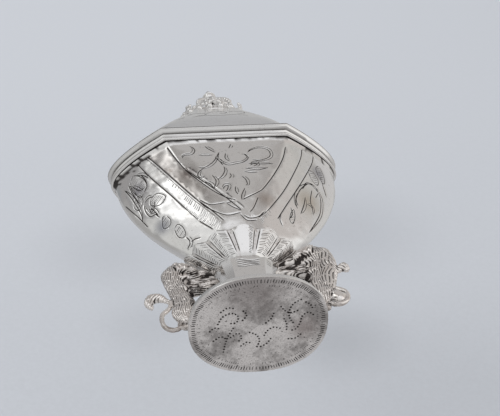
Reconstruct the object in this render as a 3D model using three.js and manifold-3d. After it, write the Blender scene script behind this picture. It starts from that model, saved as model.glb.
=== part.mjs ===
// Vinaigrette: a heart-shaped silver scent box on an oval foot, with a crowned lid and two lions.
// Millimetres, +Z up. The origin is the centre of the foot's underside, and the front is -Y.
import * as THREE from 'three';
import { mergeVertices } from 'three/addons/utils/BufferGeometryUtils.js';
import Module from 'manifold-3d';

// Clearances
const SOLDER_GAP = 0.05; // between two pieces that are soldered together
const SEAT_GAP = 0.1; // under a piece that only rests on its seat
const RUN_GAP = 0.3; // beside a piece that moves or is fitted by hand
const PIN_CLEARANCE = 0.06; // between a hinge pin and its bore, on the radius

// Foot
const FOOT_HALF_WIDTH = 12.3;
const FOOT_HALF_DEPTH = 10.4;
const FOOT_THICKNESS = 0.8;
const FOOT_WIRE_WIDTH = 0.9;
const FOOT_WIRE_HEIGHT = 0.7;
const FOOT_WIRE_INSET = 0.15;

// Stem, an eight-sided trumpet of sheet
const STEM_HEIGHT = 14.4;
const STEM_BASE_HALF_WIDTH = 6.8;
const STEM_BASE_HALF_DEPTH = 6.0;
const STEM_NECK_HALF_WIDTH = 4.2;
const STEM_NECK_HALF_DEPTH = 3.1;
const STEM_TOP_HALF_WIDTH = 4.7;
const STEM_TOP_HALF_DEPTH = 3.6;
const STEM_WALL = 0.7;

// Calyx, the fluted cup of petals that holds the body
const CALYX_HEIGHT = 6.8;
const CALYX_FLOOR = 0.8;
const CALYX_WALL = 0.7;
const CALYX_PETALS = 12;
const PETAL_CROWN = 0.4;
const PETAL_TIP = 0.7;
const CALYX_SIDE_DROP = 1.2;

// Body
const BODY_HEIGHT = 29.6;
const BODY_WALL = 0.8;
const BODY_FLOOR = 0.9;
const BODY_BOTTOM_HALF_WIDTH = 3.6;
const BODY_BOTTOM_HALF_DEPTH = 2.6;
const BODY_BOTTOM_FRONT = 1.6; // half width of the flat front at the bottom
const FRONT_CROWN = 0.4; // how much the middle of a front face bulges past its corners
const BODY_FULLNESS = 0.8;

// Mouth, rim and bezel
const RIM_HALF_WIDTH = 21.9;
const RIM_HALF_DEPTH = 10.0;
const RIM_FRONT = 11.9; // half width of the straight front and back
const RIM_STEP = 0.6; // how far the rim stands out from the body
const RIM_WIDTH = 1.75;
const BODY_RIM_HEIGHT = 2.7;
const RIM_FILLET = 0.45;
const RIM_COVE = 0.5;
const BEZEL_WALL = 0.7;
const BEZEL_RISE = 2.0; // above the joint between rim and lid
const BEZEL_DROP = 0.8; // below the rim, inside the body

// Sponge
const SPONGE_HEIGHT = 20;

// Grille
const LEDGE_WIDTH = 1.2;
const LEDGE_THICKNESS = 0.6;
const LEDGE_DROP = 1.3; // from the bezel's top down to the ledge's top
const GRILLE_FRAME_WIDTH = 0.9;
const GRILLE_FRAME_HEIGHT = 0.9;
const GRILLE_PLATE_THICKNESS = 0.5;
const GRILLE_KNUCKLE_RADIUS = 0.6;
const GRILLE_PIN_RADIUS = 0.3;
const GRILLE_HINGE_LENGTH = 9;
const ROSETTE_PETALS = 8;
const ROSETTE_RADIUS = 2.6;
const ROSETTE_EYE_RADIUS = 0.8;
const ROSETTE_PITCH = 9.4;
const DOT_HOLE_RADIUS = 0.6;
const DOT_HOLE_RISE = 3.0;
const TAB_WIDTH = 3.2;
const TAB_HEIGHT = 1.6;
const TAB_THICKNESS = 0.5;

// Lid
const LID_RIM_HEIGHT = 2.3;
const LID_RIM_WIDTH = 1.5;
const LID_RIM_LIP = 0.6; // how far the lid's rim stands out past the body's rim
const LID_HEIGHT = 15.7;
const LID_WALL = 0.8;
const LID_STEP = 0.95; // how far the dome starts inside the lid's rim
const LID_TOP_HALF_WIDTH = 6.9;
const LID_TOP_HALF_DEPTH = 4.1;
const LID_TOP_FRONT = 4.2;
const LID_FULLNESS = 0.85;

// Lid hinge
const HINGE_LENGTH = 14;
const KNUCKLE_RADIUS = 1.1;
const HINGE_PIN_RADIUS = 0.5;
const HINGE_LEAF_THICKNESS = 0.5;
const HINGE_LEAF_LENGTH = 2.2;

// Crown
const PLINTH_HEIGHT = 0.7;
const PLINTH_OVERHANG = 0.3;
const CIRCLET_HALF_WIDTH = 6.5;
const CIRCLET_HALF_DEPTH = 3.8;
const CIRCLET_HEIGHT = 2.0;
const CIRCLET_WALL = 0.8;
const CIRCLET_FLARE = 0.5;
const LEAF_COUNT = 8;
const LEAF_HEIGHT = 1.7;
const LEAF_RADIUS = 0.75;
const ARCH_COUNT = 8;
const ARCH_HEIGHT = 7.0;
const ARCH_RADIUS = 0.55;
const HUB_RADIUS = 1.3;
const HUB_HEIGHT = 0.6;
const ORB_RADIUS = 1.3;
const KNOB_RADIUS = 0.6;
const CROWN_SHIFT = 0.8; // the lid leans this far to the right at its top

// Lions
const LION_TURN_DEG = 6; // the pair stands a little turned on the foot
const LION_STANCE = 0.9; // hind paw, inwards from the foot's edge
const LION_REACH = 2.0; // back, outwards from the foot's edge
const LION_THICKNESS = 3.4;
const LION_PAW_RADIUS = 0.8;
const TAIL_RADIUS = 0.42;
const TAIL_LOOP_HALF_WIDTH = 1.8;
const TAIL_LOOP_HALF_HEIGHT = 2.7;
const RIGHT_TUFT_RISE = 2.0; // the right lion's tuft stands this much higher than the left one's

// Levels, from the foot up
const Z_FOOT_TOP = FOOT_THICKNESS;
const Z_WIRE_TOP = Z_FOOT_TOP + FOOT_WIRE_HEIGHT;
const Z_STEM_TOP = Z_FOOT_TOP + STEM_HEIGHT;
const Z_CALYX_TOP = Z_STEM_TOP + CALYX_HEIGHT;
const Z_BODY_BOTTOM = Z_STEM_TOP + CALYX_FLOOR;
const Z_MOUTH = Z_BODY_BOTTOM + BODY_HEIGHT;
const Z_JOINT = Z_MOUTH + BODY_RIM_HEIGHT;
const Z_LID_RIM = Z_JOINT + SEAT_GAP;
const Z_DOME = Z_LID_RIM + LID_RIM_HEIGHT;
const Z_DOME_TOP = Z_DOME + LID_HEIGHT;
const Z_PLINTH_TOP = Z_DOME_TOP + PLINTH_HEIGHT;
const Z_CIRCLET_TOP = Z_PLINTH_TOP + CIRCLET_HEIGHT;
const Z_HUB = Z_CIRCLET_TOP + ARCH_HEIGHT;
const Z_BEZEL_TOP = Z_JOINT + BEZEL_RISE;
const Z_LEDGE = Z_BEZEL_TOP - LEDGE_DROP;
const Z_GRILLE = Z_LEDGE + SEAT_GAP;

// Hinge axes, both parallel to X at the back
const LID_AXIS_Y = RIM_HALF_DEPTH + LID_RIM_LIP + RUN_GAP + KNUCKLE_RADIUS;
const BEZEL_INSET = RIM_WIDTH + SOLDER_GAP;
const BEZEL_BACK = RIM_HALF_DEPTH - BEZEL_INSET - BEZEL_WALL;
const GRILLE_AXIS_Y = BEZEL_BACK - SOLDER_GAP - GRILLE_KNUCKLE_RADIUS;
const GRILLE_AXIS_Z = Z_LEDGE + SOLDER_GAP + GRILLE_KNUCKLE_RADIUS;

const wasm = await Module();
wasm.setup();

// Materials, with the colours of old silver, its gilt inside and the sponge
const metal = (color, roughness) => new THREE.MeshStandardMaterial({ color, roughness, metalness: 1 });
const silver = metal(0xc9c7c4, 0.28);
const castSilver = metal(0xb5b1ad, 0.4);
const gilt = metal(0xd9b36a, 0.3);
const spongeMaterial = new THREE.MeshStandardMaterial({ color: 0xc9a56b, roughness: 0.95, metalness: 0 });

const part = new THREE.Group();

function addPiece(name, geometry, material) {
  const mesh = new THREE.Mesh(geometry, material);
  mesh.name = name;
  part.add(mesh);
}

// Turns every face outwards, by the sign of the enclosed volume.
function facedOut(positions, triangles) {
  let volume = 0;
  const [a, b, c] = [new THREE.Vector3(), new THREE.Vector3(), new THREE.Vector3()];
  for (let i = 0; i < triangles.length; i += 3) {
    a.fromArray(positions, triangles[i] * 3);
    b.fromArray(positions, triangles[i + 1] * 3);
    c.fromArray(positions, triangles[i + 2] * 3);
    volume += a.dot(b.cross(c));
  }
  const order = volume < 0 ? triangles.slice().reverse() : triangles;
  const geometry = new THREE.BufferGeometry();
  geometry.setAttribute('position', new THREE.BufferAttribute(new Float32Array(positions), 3));
  geometry.setIndex(order);
  geometry.computeVertexNormals();
  return geometry;
}

// Skins a row of rings that have the same number of points. A loop joins the last ring to the
// first, and otherwise a fan closes each end.
function skin(rings, loop = false) {
  const count = rings[0].length;
  const positions = rings.flat().flatMap((point) => [point.x, point.y, point.z]);
  const triangles = [];
  const bands = loop ? rings.length : rings.length - 1;
  for (let ring = 0; ring < bands; ring += 1) {
    const low = ring * count;
    const high = ((ring + 1) % rings.length) * count;
    for (let i = 0; i < count; i += 1) {
      const next = (i + 1) % count;
      triangles.push(low + i, low + next, high + next, low + i, high + next, high + i);
    }
  }
  const fan = (ring, flip) => {
    const middle = new THREE.Vector3();
    rings[ring].forEach((point) => middle.addScaledVector(point, 1 / count));
    const centre = positions.length / 3;
    positions.push(middle.x, middle.y, middle.z);
    for (let i = 0; i < count; i += 1) {
      const [first, second] = flip ? [(i + 1) % count, i] : [i, (i + 1) % count];
      triangles.push(centre, ring * count + first, ring * count + second);
    }
  };
  if (!loop) {
    fan(0, true);
    fan(rings.length - 1, false);
  }
  return facedOut(positions, triangles);
}

function toManifold(geometry) {
  const bare = geometry.clone();
  bare.deleteAttribute('normal');
  bare.deleteAttribute('uv');
  const merged = mergeVertices(bare, 1e-4);
  return new wasm.Manifold(new wasm.Mesh({
    numProp: 3,
    vertProperties: new Float32Array(merged.attributes.position.array),
    triVerts: new Uint32Array(merged.index.array),
  }));
}

function fromManifold(solid) {
  const mesh = solid.getMesh();
  const geometry = new THREE.BufferGeometry();
  geometry.setAttribute('position', new THREE.BufferAttribute(mesh.vertProperties, 3));
  geometry.setIndex(new THREE.BufferAttribute(mesh.triVerts, 1));
  geometry.computeVertexNormals();
  return geometry;
}

const joined = (pieces) => fromManifold(pieces.map(toManifold).reduce((sum, solid) => sum.add(solid)));
const pierced = (piece, tools) => fromManifold(toManifold(piece).subtract(toManifold(joined(tools))));

// Plan outlines: a straight front and back, and a rounded point at each end

const FRONT_SPLIT = 0.22; // share of a quarter's points along the straight front
const FRONT_STEPS = 2;
const END_STEPS = 7;
const QUARTER_STEPS = FRONT_STEPS + END_STEPS;
const END_BULGE = { alongX: 0.43, firstY: 0.73, lastY: 0.3 }; // handles of the end's curve

// A point of the outline at a share of the way round, from the middle of the front to the right.
function planPoint(plan, share) {
  const quarter = Math.floor(share * 4) % 4;
  const local = share * 4 - Math.floor(share * 4);
  const along = quarter % 2 === 0 ? local : 1 - local;
  const isBack = quarter === 1 || quarter === 2;
  const depth = isBack ? plan.back ?? plan.depth : plan.depth;
  let x;
  let y;
  if (along <= FRONT_SPLIT) {
    const t = along / FRONT_SPLIT;
    x = plan.front * t;
    y = depth - (plan.crown ?? 0) * t * t;
  } else {
    const corner = depth - (plan.crown ?? 0);
    const bulgeX = END_BULGE.alongX * (plan.width - plan.front);
    const curve = new THREE.CubicBezierCurve(
      new THREE.Vector2(plan.front, corner),
      new THREE.Vector2(plan.front + bulgeX, corner * END_BULGE.firstY),
      new THREE.Vector2(plan.width, corner * END_BULGE.lastY),
      new THREE.Vector2(plan.width, 0),
    );
    const point = curve.getPoint((along - FRONT_SPLIT) / (1 - FRONT_SPLIT));
    x = point.x;
    y = point.y;
  }
  return new THREE.Vector2((quarter < 2 ? x : -x) + (plan.shift ?? 0), isBack ? y : -y);
}

// Shares that fall on the corners of the outline, so that rings keep their creases.
function planShares() {
  const quarter = [];
  for (let i = 0; i < FRONT_STEPS; i += 1) quarter.push((FRONT_SPLIT * i) / FRONT_STEPS);
  for (let i = 0; i < END_STEPS; i += 1) quarter.push(FRONT_SPLIT + ((1 - FRONT_SPLIT) * i) / END_STEPS);
  const half = [...quarter, 1, ...quarter.slice(1).reverse().map((share) => 2 - share)];
  return [...half, ...half.map((share) => share + 2)].map((share) => share / 4);
}

const SHARES = planShares();
const evenShares = (count) => Array.from({ length: count }, (_, i) => i / count);

// Moves each point of a closed outline square to the outline, so that a wall keeps its thickness.
function offsetOutline(points, distance) {
  return points.map((point, i) => {
    const before = points[(i + points.length - 1) % points.length];
    const after = points[(i + 1) % points.length];
    const inward = point.clone().sub(before).normalize();
    const outward = after.clone().sub(point).normalize();
    const normal = new THREE.Vector2(inward.y + outward.y, -inward.x - outward.x).normalize();
    const stretch = 1 / Math.max(0.5, normal.dot(new THREE.Vector2(inward.y, -inward.x)));
    return point.clone().addScaledVector(normal, distance * stretch);
  });
}

const outline = (plan, shares = SHARES) => shares.map((share) => planPoint(plan, share));
const atLevel = (points, z) => points.map((point) => new THREE.Vector3(point.x, point.y, z));
const planRing = (plan, distance, z) => atLevel(offsetOutline(outline(plan), distance), z);

// A moulding that runs round a plan. The profile holds offsets from the plan and levels.
function moulding(plan, profile) {
  return skin(profile.map(([distance, z]) => planRing(plan, distance, z)), true);
}

const rimPlan = { width: RIM_HALF_WIDTH, depth: RIM_HALF_DEPTH, front: RIM_FRONT };

// The body swells from the bottom to the mouth along a quarter of a sine wave.
function bodyPlan(z) {
  const share = THREE.MathUtils.clamp((z - Z_BODY_BOTTOM) / BODY_HEIGHT, 0, 1);
  const swell = Math.sin((Math.PI / 2) * share ** BODY_FULLNESS);
  return {
    width: THREE.MathUtils.lerp(BODY_BOTTOM_HALF_WIDTH, RIM_HALF_WIDTH - RIM_STEP, swell),
    depth: THREE.MathUtils.lerp(BODY_BOTTOM_HALF_DEPTH, RIM_HALF_DEPTH - RIM_STEP, swell),
    front: THREE.MathUtils.lerp(BODY_BOTTOM_FRONT, RIM_FRONT - RIM_STEP, share),
    crown: FRONT_CROWN * Math.sin(Math.PI * share),
  };
}

// The lid narrows from its rim to the crown along a quarter of a cosine wave.
function lidPlan(z) {
  const share = THREE.MathUtils.clamp((z - Z_DOME) / LID_HEIGHT, 0, 1);
  const fade = Math.cos((Math.PI / 2) * share ** LID_FULLNESS);
  return {
    width: THREE.MathUtils.lerp(LID_TOP_HALF_WIDTH, RIM_HALF_WIDTH - LID_STEP, fade),
    depth: THREE.MathUtils.lerp(LID_TOP_HALF_DEPTH, RIM_HALF_DEPTH - LID_STEP, fade),
    front: THREE.MathUtils.lerp(LID_TOP_FRONT, RIM_FRONT - LID_STEP, fade),
    crown: FRONT_CROWN * Math.sin(Math.PI * share),
    shift: CROWN_SHIFT * share,
  };
}

// Evenly spaced values from low to high, with both ends.
function levels(low, high, steps) {
  return Array.from({ length: steps + 1 }, (_, i) => low + ((high - low) * i) / steps);
}

// Foot

const FOOT_POINTS = 40;
const FOOT_SQUARENESS = 2.25; // 2 would be an ellipse

function footOutline(inset) {
  return Array.from({ length: FOOT_POINTS }, (_, i) => {
    const angle = (2 * Math.PI * i) / FOOT_POINTS - Math.PI / 2;
    const [cos, sin] = [Math.cos(angle), Math.sin(angle)];
    const power = 2 / FOOT_SQUARENESS;
    return new THREE.Vector2(
      Math.sign(cos) * (FOOT_HALF_WIDTH - inset) * Math.abs(cos) ** power,
      Math.sign(sin) * (FOOT_HALF_DEPTH - inset) * Math.abs(sin) ** power,
    );
  });
}

const FOOT_BEVEL = 0.15;

function makeFoot() {
  const plate = skin([
    atLevel(footOutline(FOOT_BEVEL), 0),
    atLevel(footOutline(0), FOOT_BEVEL),
    atLevel(footOutline(0), FOOT_THICKNESS),
  ]);
  addPiece('foot_plate', plate, silver);
  const inner = FOOT_WIRE_INSET + FOOT_WIRE_WIDTH;
  const middle = FOOT_WIRE_INSET + FOOT_WIRE_WIDTH / 2;
  const wire = skin([
    atLevel(footOutline(inner), Z_FOOT_TOP),
    atLevel(footOutline(FOOT_WIRE_INSET), Z_FOOT_TOP),
    atLevel(footOutline(FOOT_WIRE_INSET), Z_FOOT_TOP + FOOT_WIRE_HEIGHT / 2),
    atLevel(footOutline(middle), Z_WIRE_TOP),
    atLevel(footOutline(inner), Z_FOOT_TOP + FOOT_WIRE_HEIGHT / 2),
  ], true);
  addPiece('foot_wire', wire, silver);
}

// Stem

const STEM_CHAMFER = 0.33; // share of each side that the corner facets take

function octagon(halfWidth, halfDepth) {
  const shortX = halfWidth * (1 - STEM_CHAMFER);
  const shortY = halfDepth * (1 - STEM_CHAMFER);
  return [
    [-shortX, -halfDepth], [shortX, -halfDepth], [halfWidth, -shortY], [halfWidth, shortY],
    [shortX, halfDepth], [-shortX, halfDepth], [-halfWidth, shortY], [-halfWidth, -shortY],
  ].map(([x, y]) => new THREE.Vector2(x, y));
}

const STEM_NECK_SHARE = 0.7; // height of the narrowest place, as a share of the stem
const STEM_FLARE_POWER = 2.6;

// Half width or half depth of the stem at a share of its height.
function stemHalf(base, neck, top, share) {
  if (share < STEM_NECK_SHARE) {
    return neck + (base - neck) * (1 - share / STEM_NECK_SHARE) ** STEM_FLARE_POWER;
  }
  return neck + (top - neck) * ((share - STEM_NECK_SHARE) / (1 - STEM_NECK_SHARE)) ** 2;
}

function stemRing(z, inset) {
  const share = (z - Z_FOOT_TOP) / STEM_HEIGHT;
  return atLevel(octagon(
    stemHalf(STEM_BASE_HALF_WIDTH, STEM_NECK_HALF_WIDTH, STEM_TOP_HALF_WIDTH, share) - inset,
    stemHalf(STEM_BASE_HALF_DEPTH, STEM_NECK_HALF_DEPTH, STEM_TOP_HALF_DEPTH, share) - inset,
  ), z);
}

function makeStem() {
  const inside = levels(Z_FOOT_TOP, Z_STEM_TOP - STEM_WALL, 7).reverse().map((z) => stemRing(z, STEM_WALL));
  const outside = levels(Z_FOOT_TOP, Z_STEM_TOP, 9).map((z) => stemRing(z, 0));
  addPiece('stem', skin([...inside, ...outside]), silver);
}

// Calyx

const POINTS_PER_PETAL = 4;
const CALYX_POINTS = CALYX_PETALS * POINTS_PER_PETAL;

// The rim of the calyx: petal tips stand up, and the ends lie lower than the front.
function calyxTop(share) {
  const tip = Math.cos(Math.PI * CALYX_PETALS * share) ** 2;
  const side = Math.sin(2 * Math.PI * share) ** 2;
  return Z_CALYX_TOP + PETAL_TIP * (tip - 1) - CALYX_SIDE_DROP * side;
}

// A point on the calyx: a level share from the body's bottom to the rim, and a distance off the body.
function calyxPoint(share, rise, distance, crown) {
  const z = THREE.MathUtils.lerp(Z_BODY_BOTTOM, calyxTop(share), rise);
  const step = 1 / CALYX_POINTS;
  const plan = bodyPlan(z);
  const near = [share - step, share, share + step].map((at) => planPoint(plan, (at + 1) % 1));
  const petal = Math.abs(Math.cos(Math.PI * CALYX_PETALS * share));
  const [, point] = offsetOutline(near, distance + crown * petal * rise);
  return new THREE.Vector3(point.x, point.y, z);
}

function calyxRing(rise, distance, crown) {
  return evenShares(CALYX_POINTS).map((share) => calyxPoint(share, rise, distance, crown));
}

const CALYX_RISES = [0, 0.18, 0.4, 0.7, 1];

function makeCalyx() {
  const outer = RUN_GAP + CALYX_WALL;
  const floor = calyxRing(0, RUN_GAP, 0);
  const foot = calyxRing(0, outer, 0).map((point) => point.clone().setZ(Z_STEM_TOP));
  const rings = [
    foot,
    ...CALYX_RISES.map((rise) => calyxRing(rise, outer, PETAL_CROWN)),
    ...CALYX_RISES.slice(1).reverse().map((rise) => calyxRing(rise, RUN_GAP, 0)),
    floor,
  ];
  addPiece('calyx', skin(rings), silver);
}

// Body, rim and bezel

const COVE_SIDE_SHARE = 0.7; // depth of the cove beside its middle, as a share of the whole

const BODY_LEVEL_POWER = 1.3; // above 1, it sets the rings closer near the bottom

function makeBody() {
  const outside = levels(0, 1, 9).map((share) => {
    const z = Z_BODY_BOTTOM + BODY_HEIGHT * share ** BODY_LEVEL_POWER;
    return planRing(bodyPlan(z), 0, z);
  });
  const insideLow = Z_BODY_BOTTOM + BODY_FLOOR;
  const inside = levels(0, 1, 7).reverse().map((share) => {
    const z = insideLow + (Z_MOUTH - insideLow) * share ** BODY_LEVEL_POWER;
    return planRing(bodyPlan(z), -BODY_WALL, z);
  });
  addPiece('body_shell', skin([...outside, ...inside]), silver);

  const fillet = Z_MOUTH + RIM_FILLET;
  const cove = (Z_JOINT + fillet) / 2;
  const soft = RIM_FILLET / 3;
  const coveSide = RIM_COVE * COVE_SIDE_SHARE;
  addPiece('body_rim', moulding(rimPlan, [
    [-RIM_WIDTH, Z_MOUTH], [-soft, Z_MOUTH], [0, Z_MOUTH + soft], [0, fillet],
    [-coveSide, fillet + soft], [-RIM_COVE, cove], [-coveSide, cove + 2 * soft],
    [-soft, Z_JOINT - 2 * soft], [-soft, Z_JOINT], [-RIM_WIDTH, Z_JOINT],
  ]), silver);

  const bezelInner = BEZEL_INSET + BEZEL_WALL;
  const bezelLow = Z_MOUTH - BEZEL_DROP;
  addPiece('bezel', moulding(rimPlan, [
    [-bezelInner, bezelLow], [-BEZEL_INSET, bezelLow],
    [-BEZEL_INSET, Z_BEZEL_TOP], [-bezelInner, Z_BEZEL_TOP],
  ]), gilt);
}

// Sponge, cut to the taper of the body

function makeSponge() {
  const low = Z_BODY_BOTTOM + BODY_FLOOR + RUN_GAP;
  const inset = BODY_WALL + RUN_GAP;
  const rings = levels(low, low + SPONGE_HEIGHT, 4).map((z) => planRing(bodyPlan(z), -inset, z));
  addPiece('sponge', skin(rings), spongeMaterial);
}

// Grille, with its frame, ledge and hinge

const ledgeInset = BEZEL_INSET + BEZEL_WALL + SOLDER_GAP;
const frameInset = BEZEL_INSET + BEZEL_WALL + RUN_GAP;
const FRAME_BACK = GRILLE_AXIS_Y - GRILLE_KNUCKLE_RADIUS - RUN_GAP;

// Plan of the grille's frame or of what lies inside it. The back is cut short for the hinge.
function grillePlan(inset) {
  return {
    width: RIM_HALF_WIDTH - frameInset - inset,
    depth: RIM_HALF_DEPTH - frameInset - inset,
    back: FRAME_BACK - inset,
    front: RIM_FRONT - (frameInset + inset) / 2,
  };
}

function ringBetween(outer, inner, low, high) {
  return skin([atLevel(inner, low), atLevel(outer, low), atLevel(outer, high), atLevel(inner, high)], true);
}

const TAB_TAPER = 0.5; // share of its width that the tab loses towards its top

const HOLE_SIDES = 8;
const PETAL_HOLE_SLIMNESS = 0.62; // width of a petal's hole as a share of its length
const DOT_SPREAD = 0.95; // pitch of the small holes as a share of the rosettes' pitch
const ROSETTE_COLUMNS = [-1, 0, 1];
const DOT_COLUMNS = [-1.5, -0.5, 0.5, 1.5];
const MIDDLE_DOT_COLUMNS = [-0.5, 0.5];

// A punch for a round or oval hole, longer than the plate is thick.
function punch(x, y, halfLength, halfWidth, angle) {
  const tool = new THREE.CylinderGeometry(1, 1, 3 * GRILLE_PLATE_THICKNESS, HOLE_SIDES);
  tool.rotateX(Math.PI / 2);
  tool.scale(halfLength, halfWidth, 1);
  tool.rotateZ(angle);
  tool.translate(x, y, 0);
  return tool;
}

function grilleHoles() {
  const holes = [];
  const petalInner = ROSETTE_EYE_RADIUS + RUN_GAP;
  const reach = (petalInner + ROSETTE_RADIUS) / 2;
  const halfLength = (ROSETTE_RADIUS - petalInner) / 2;
  const halfWidth = halfLength * PETAL_HOLE_SLIMNESS;
  for (const column of ROSETTE_COLUMNS) {
    const x = column * ROSETTE_PITCH;
    holes.push(punch(x, 0, ROSETTE_EYE_RADIUS, ROSETTE_EYE_RADIUS, 0));
    for (let i = 0; i < ROSETTE_PETALS; i += 1) {
      const angle = (2 * Math.PI * (i + 0.5)) / ROSETTE_PETALS;
      const [petalX, petalY] = [x + reach * Math.cos(angle), reach * Math.sin(angle)];
      holes.push(punch(petalX, petalY, halfLength, halfWidth, angle));
    }
  }
  const dot = (x, y) => holes.push(punch(x, y, DOT_HOLE_RADIUS, DOT_HOLE_RADIUS, 0));
  for (const column of DOT_COLUMNS) {
    dot(column * ROSETTE_PITCH * DOT_SPREAD, -DOT_HOLE_RISE);
    dot(column * ROSETTE_PITCH * DOT_SPREAD, DOT_HOLE_RISE);
  }
  for (const column of MIDDLE_DOT_COLUMNS) dot(column * ROSETTE_PITCH, 0);
  return holes;
}

function makeGrille() {
  const ledgeOuter = offsetOutline(outline(rimPlan), -ledgeInset);
  const ledgeInner = outline(grillePlan(LEDGE_WIDTH));
  const ledge = ringBetween(ledgeOuter, ledgeInner, Z_LEDGE - LEDGE_THICKNESS, Z_LEDGE);
  addPiece('grille_ledge', ledge, gilt);

  const frameOuter = outline(grillePlan(0));
  const frameInner = outline(grillePlan(GRILLE_FRAME_WIDTH));
  const frame = ringBetween(frameOuter, frameInner, Z_GRILLE, Z_GRILLE + GRILLE_FRAME_HEIGHT);
  addPiece('grille_frame', frame, gilt);

  const plateOutline = outline(grillePlan(GRILLE_FRAME_WIDTH + SOLDER_GAP));
  const halfPlate = GRILLE_PLATE_THICKNESS / 2;
  const sheet = skin([atLevel(plateOutline, -halfPlate), atLevel(plateOutline, halfPlate)]);
  const plate = pierced(sheet, grilleHoles());
  plate.translate(0, 0, Z_GRILLE + GRILLE_FRAME_HEIGHT / 2);
  addPiece('grille_plate', plate, gilt);

  const tab = new THREE.BoxGeometry(TAB_WIDTH, TAB_THICKNESS, TAB_HEIGHT, 2, 1, 2);
  const tabPositions = tab.attributes.position;
  for (let i = 0; i < tabPositions.count; i += 1) {
    const rise = tabPositions.getZ(i) / TAB_HEIGHT + 0.5;
    tabPositions.setX(i, tabPositions.getX(i) * (1 - TAB_TAPER * rise * rise));
  }
  const tabY = -(RIM_HALF_DEPTH - frameInset - GRILLE_FRAME_WIDTH / 2);
  tab.translate(0, tabY, Z_GRILLE + GRILLE_FRAME_HEIGHT + SOLDER_GAP + TAB_HEIGHT / 2);
  addPiece('grille_tab', tab, gilt);
}

// Hinges

const KNUCKLE_STEPS = 14;
const BORE_STEPS = 16;

// A knuckle's section round the axis, with a leaf that hangs down beside it on the left.
function knuckleSection(radius, boreRadius, leafFace, leafThickness, leafLength) {
  const leafBack = leafFace - leafThickness;
  const start = Math.PI + Math.asin(Math.sqrt(1 - (leafBack / radius) ** 2));
  const end = 3 * Math.PI;
  const shape = new THREE.Shape();
  for (let i = 0; i <= KNUCKLE_STEPS; i += 1) {
    const angle = start + ((end - start) * i) / KNUCKLE_STEPS;
    const point = [radius * Math.cos(angle), radius * Math.sin(angle)];
    if (i === 0) shape.moveTo(...point);
    else shape.lineTo(...point);
  }
  shape.lineTo(-leafFace, 0);
  shape.lineTo(-leafFace, -leafLength);
  shape.lineTo(-leafBack, -leafLength);
  shape.closePath();
  const bore = new THREE.Path();
  const boreVertexRadius = boreRadius / Math.cos(Math.PI / BORE_STEPS);
  for (let i = 0; i < BORE_STEPS; i += 1) {
    const angle = (-2 * Math.PI * i) / BORE_STEPS;
    const point = [boreVertexRadius * Math.cos(angle), boreVertexRadius * Math.sin(angle)];
    if (i === 0) bore.moveTo(...point);
    else bore.lineTo(...point);
  }
  bore.closePath();
  shape.holes.push(bore);
  return shape;
}

// Stands a section in the YZ plane and extrudes it along X, from one place to another.
function alongX(section, from, to, y, z, turn = new THREE.Matrix4()) {
  const geometry = new THREE.ExtrudeGeometry(section, { depth: to - from, bevelEnabled: false });
  geometry.translate(0, 0, from);
  geometry.applyMatrix4(turn);
  geometry.applyMatrix4(new THREE.Matrix4().makeBasis(
    new THREE.Vector3(0, 1, 0), new THREE.Vector3(0, 0, 1), new THREE.Vector3(1, 0, 0),
  ));
  geometry.translate(0, y, z);
  return geometry;
}

const overAxis = new THREE.Matrix4().makeRotationX(Math.PI); // leaf up instead of down
const behindAxis = new THREE.Matrix4().makeRotationY(Math.PI); // leaf behind instead of in front
const quarterTurn = new THREE.Matrix4().makeRotationZ(-Math.PI / 2); // leaf forwards instead of down

function makePin(name, radius, length, y, z, material) {
  const pin = new THREE.CylinderGeometry(radius, radius, length, BORE_STEPS);
  pin.rotateZ(Math.PI / 2);
  pin.translate(0, y, z);
  addPiece(name, pin, material);
}

function makeLidHinge() {
  const half = HINGE_LENGTH / 2;
  const middle = HINGE_LENGTH / 6;
  const bore = HINGE_PIN_RADIUS + PIN_CLEARANCE;
  const face = LID_AXIS_Y - RIM_HALF_DEPTH - SOLDER_GAP;
  const bodyThickness = HINGE_LEAF_THICKNESS + LID_RIM_LIP;
  const lidLength = Math.min(HINGE_LEAF_LENGTH, LID_RIM_HEIGHT);
  const radius = KNUCKLE_RADIUS;
  const bodyLeaf = knuckleSection(radius, bore, face, bodyThickness, HINGE_LEAF_LENGTH);
  const lidLeaf = knuckleSection(radius, bore, face - LID_RIM_LIP, HINGE_LEAF_THICKNESS, lidLength);
  const place = [LID_AXIS_Y, Z_JOINT];
  addPiece('lid_hinge_knuckle_left', alongX(bodyLeaf, -half, -middle - RUN_GAP, ...place), silver);
  addPiece('lid_hinge_knuckle_right', alongX(bodyLeaf, middle + RUN_GAP, half, ...place), silver);
  addPiece('lid_hinge_knuckle_centre', alongX(lidLeaf, -middle, middle, ...place, overAxis), silver);
  makePin('lid_hinge_pin', HINGE_PIN_RADIUS, HINGE_LENGTH, ...place, silver);
}

function makeGrilleHinge() {
  const half = GRILLE_HINGE_LENGTH / 2;
  const middle = GRILLE_HINGE_LENGTH / 6;
  const bore = GRILLE_PIN_RADIUS + PIN_CLEARANCE;
  const radius = GRILLE_KNUCKLE_RADIUS;
  const place = [GRILLE_AXIS_Y, GRILLE_AXIS_Z];
  const fixed = knuckleSection(radius, bore, radius, radius / 2, radius);
  const reach = GRILLE_AXIS_Y - FRAME_BACK - SOLDER_GAP;
  const moving = knuckleSection(radius, bore, radius, radius / 2, reach);
  const left = alongX(fixed, -half, -middle - RUN_GAP, ...place, behindAxis);
  const right = alongX(fixed, middle + RUN_GAP, half, ...place, behindAxis);
  const centre = alongX(moving, -middle, middle, ...place, quarterTurn);
  addPiece('grille_hinge_knuckle_left', left, gilt);
  addPiece('grille_hinge_knuckle_right', right, gilt);
  addPiece('grille_hinge_knuckle_centre', centre, gilt);
  makePin('grille_hinge_pin', GRILLE_PIN_RADIUS, GRILLE_HINGE_LENGTH, ...place, gilt);
}

// Lid

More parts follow.
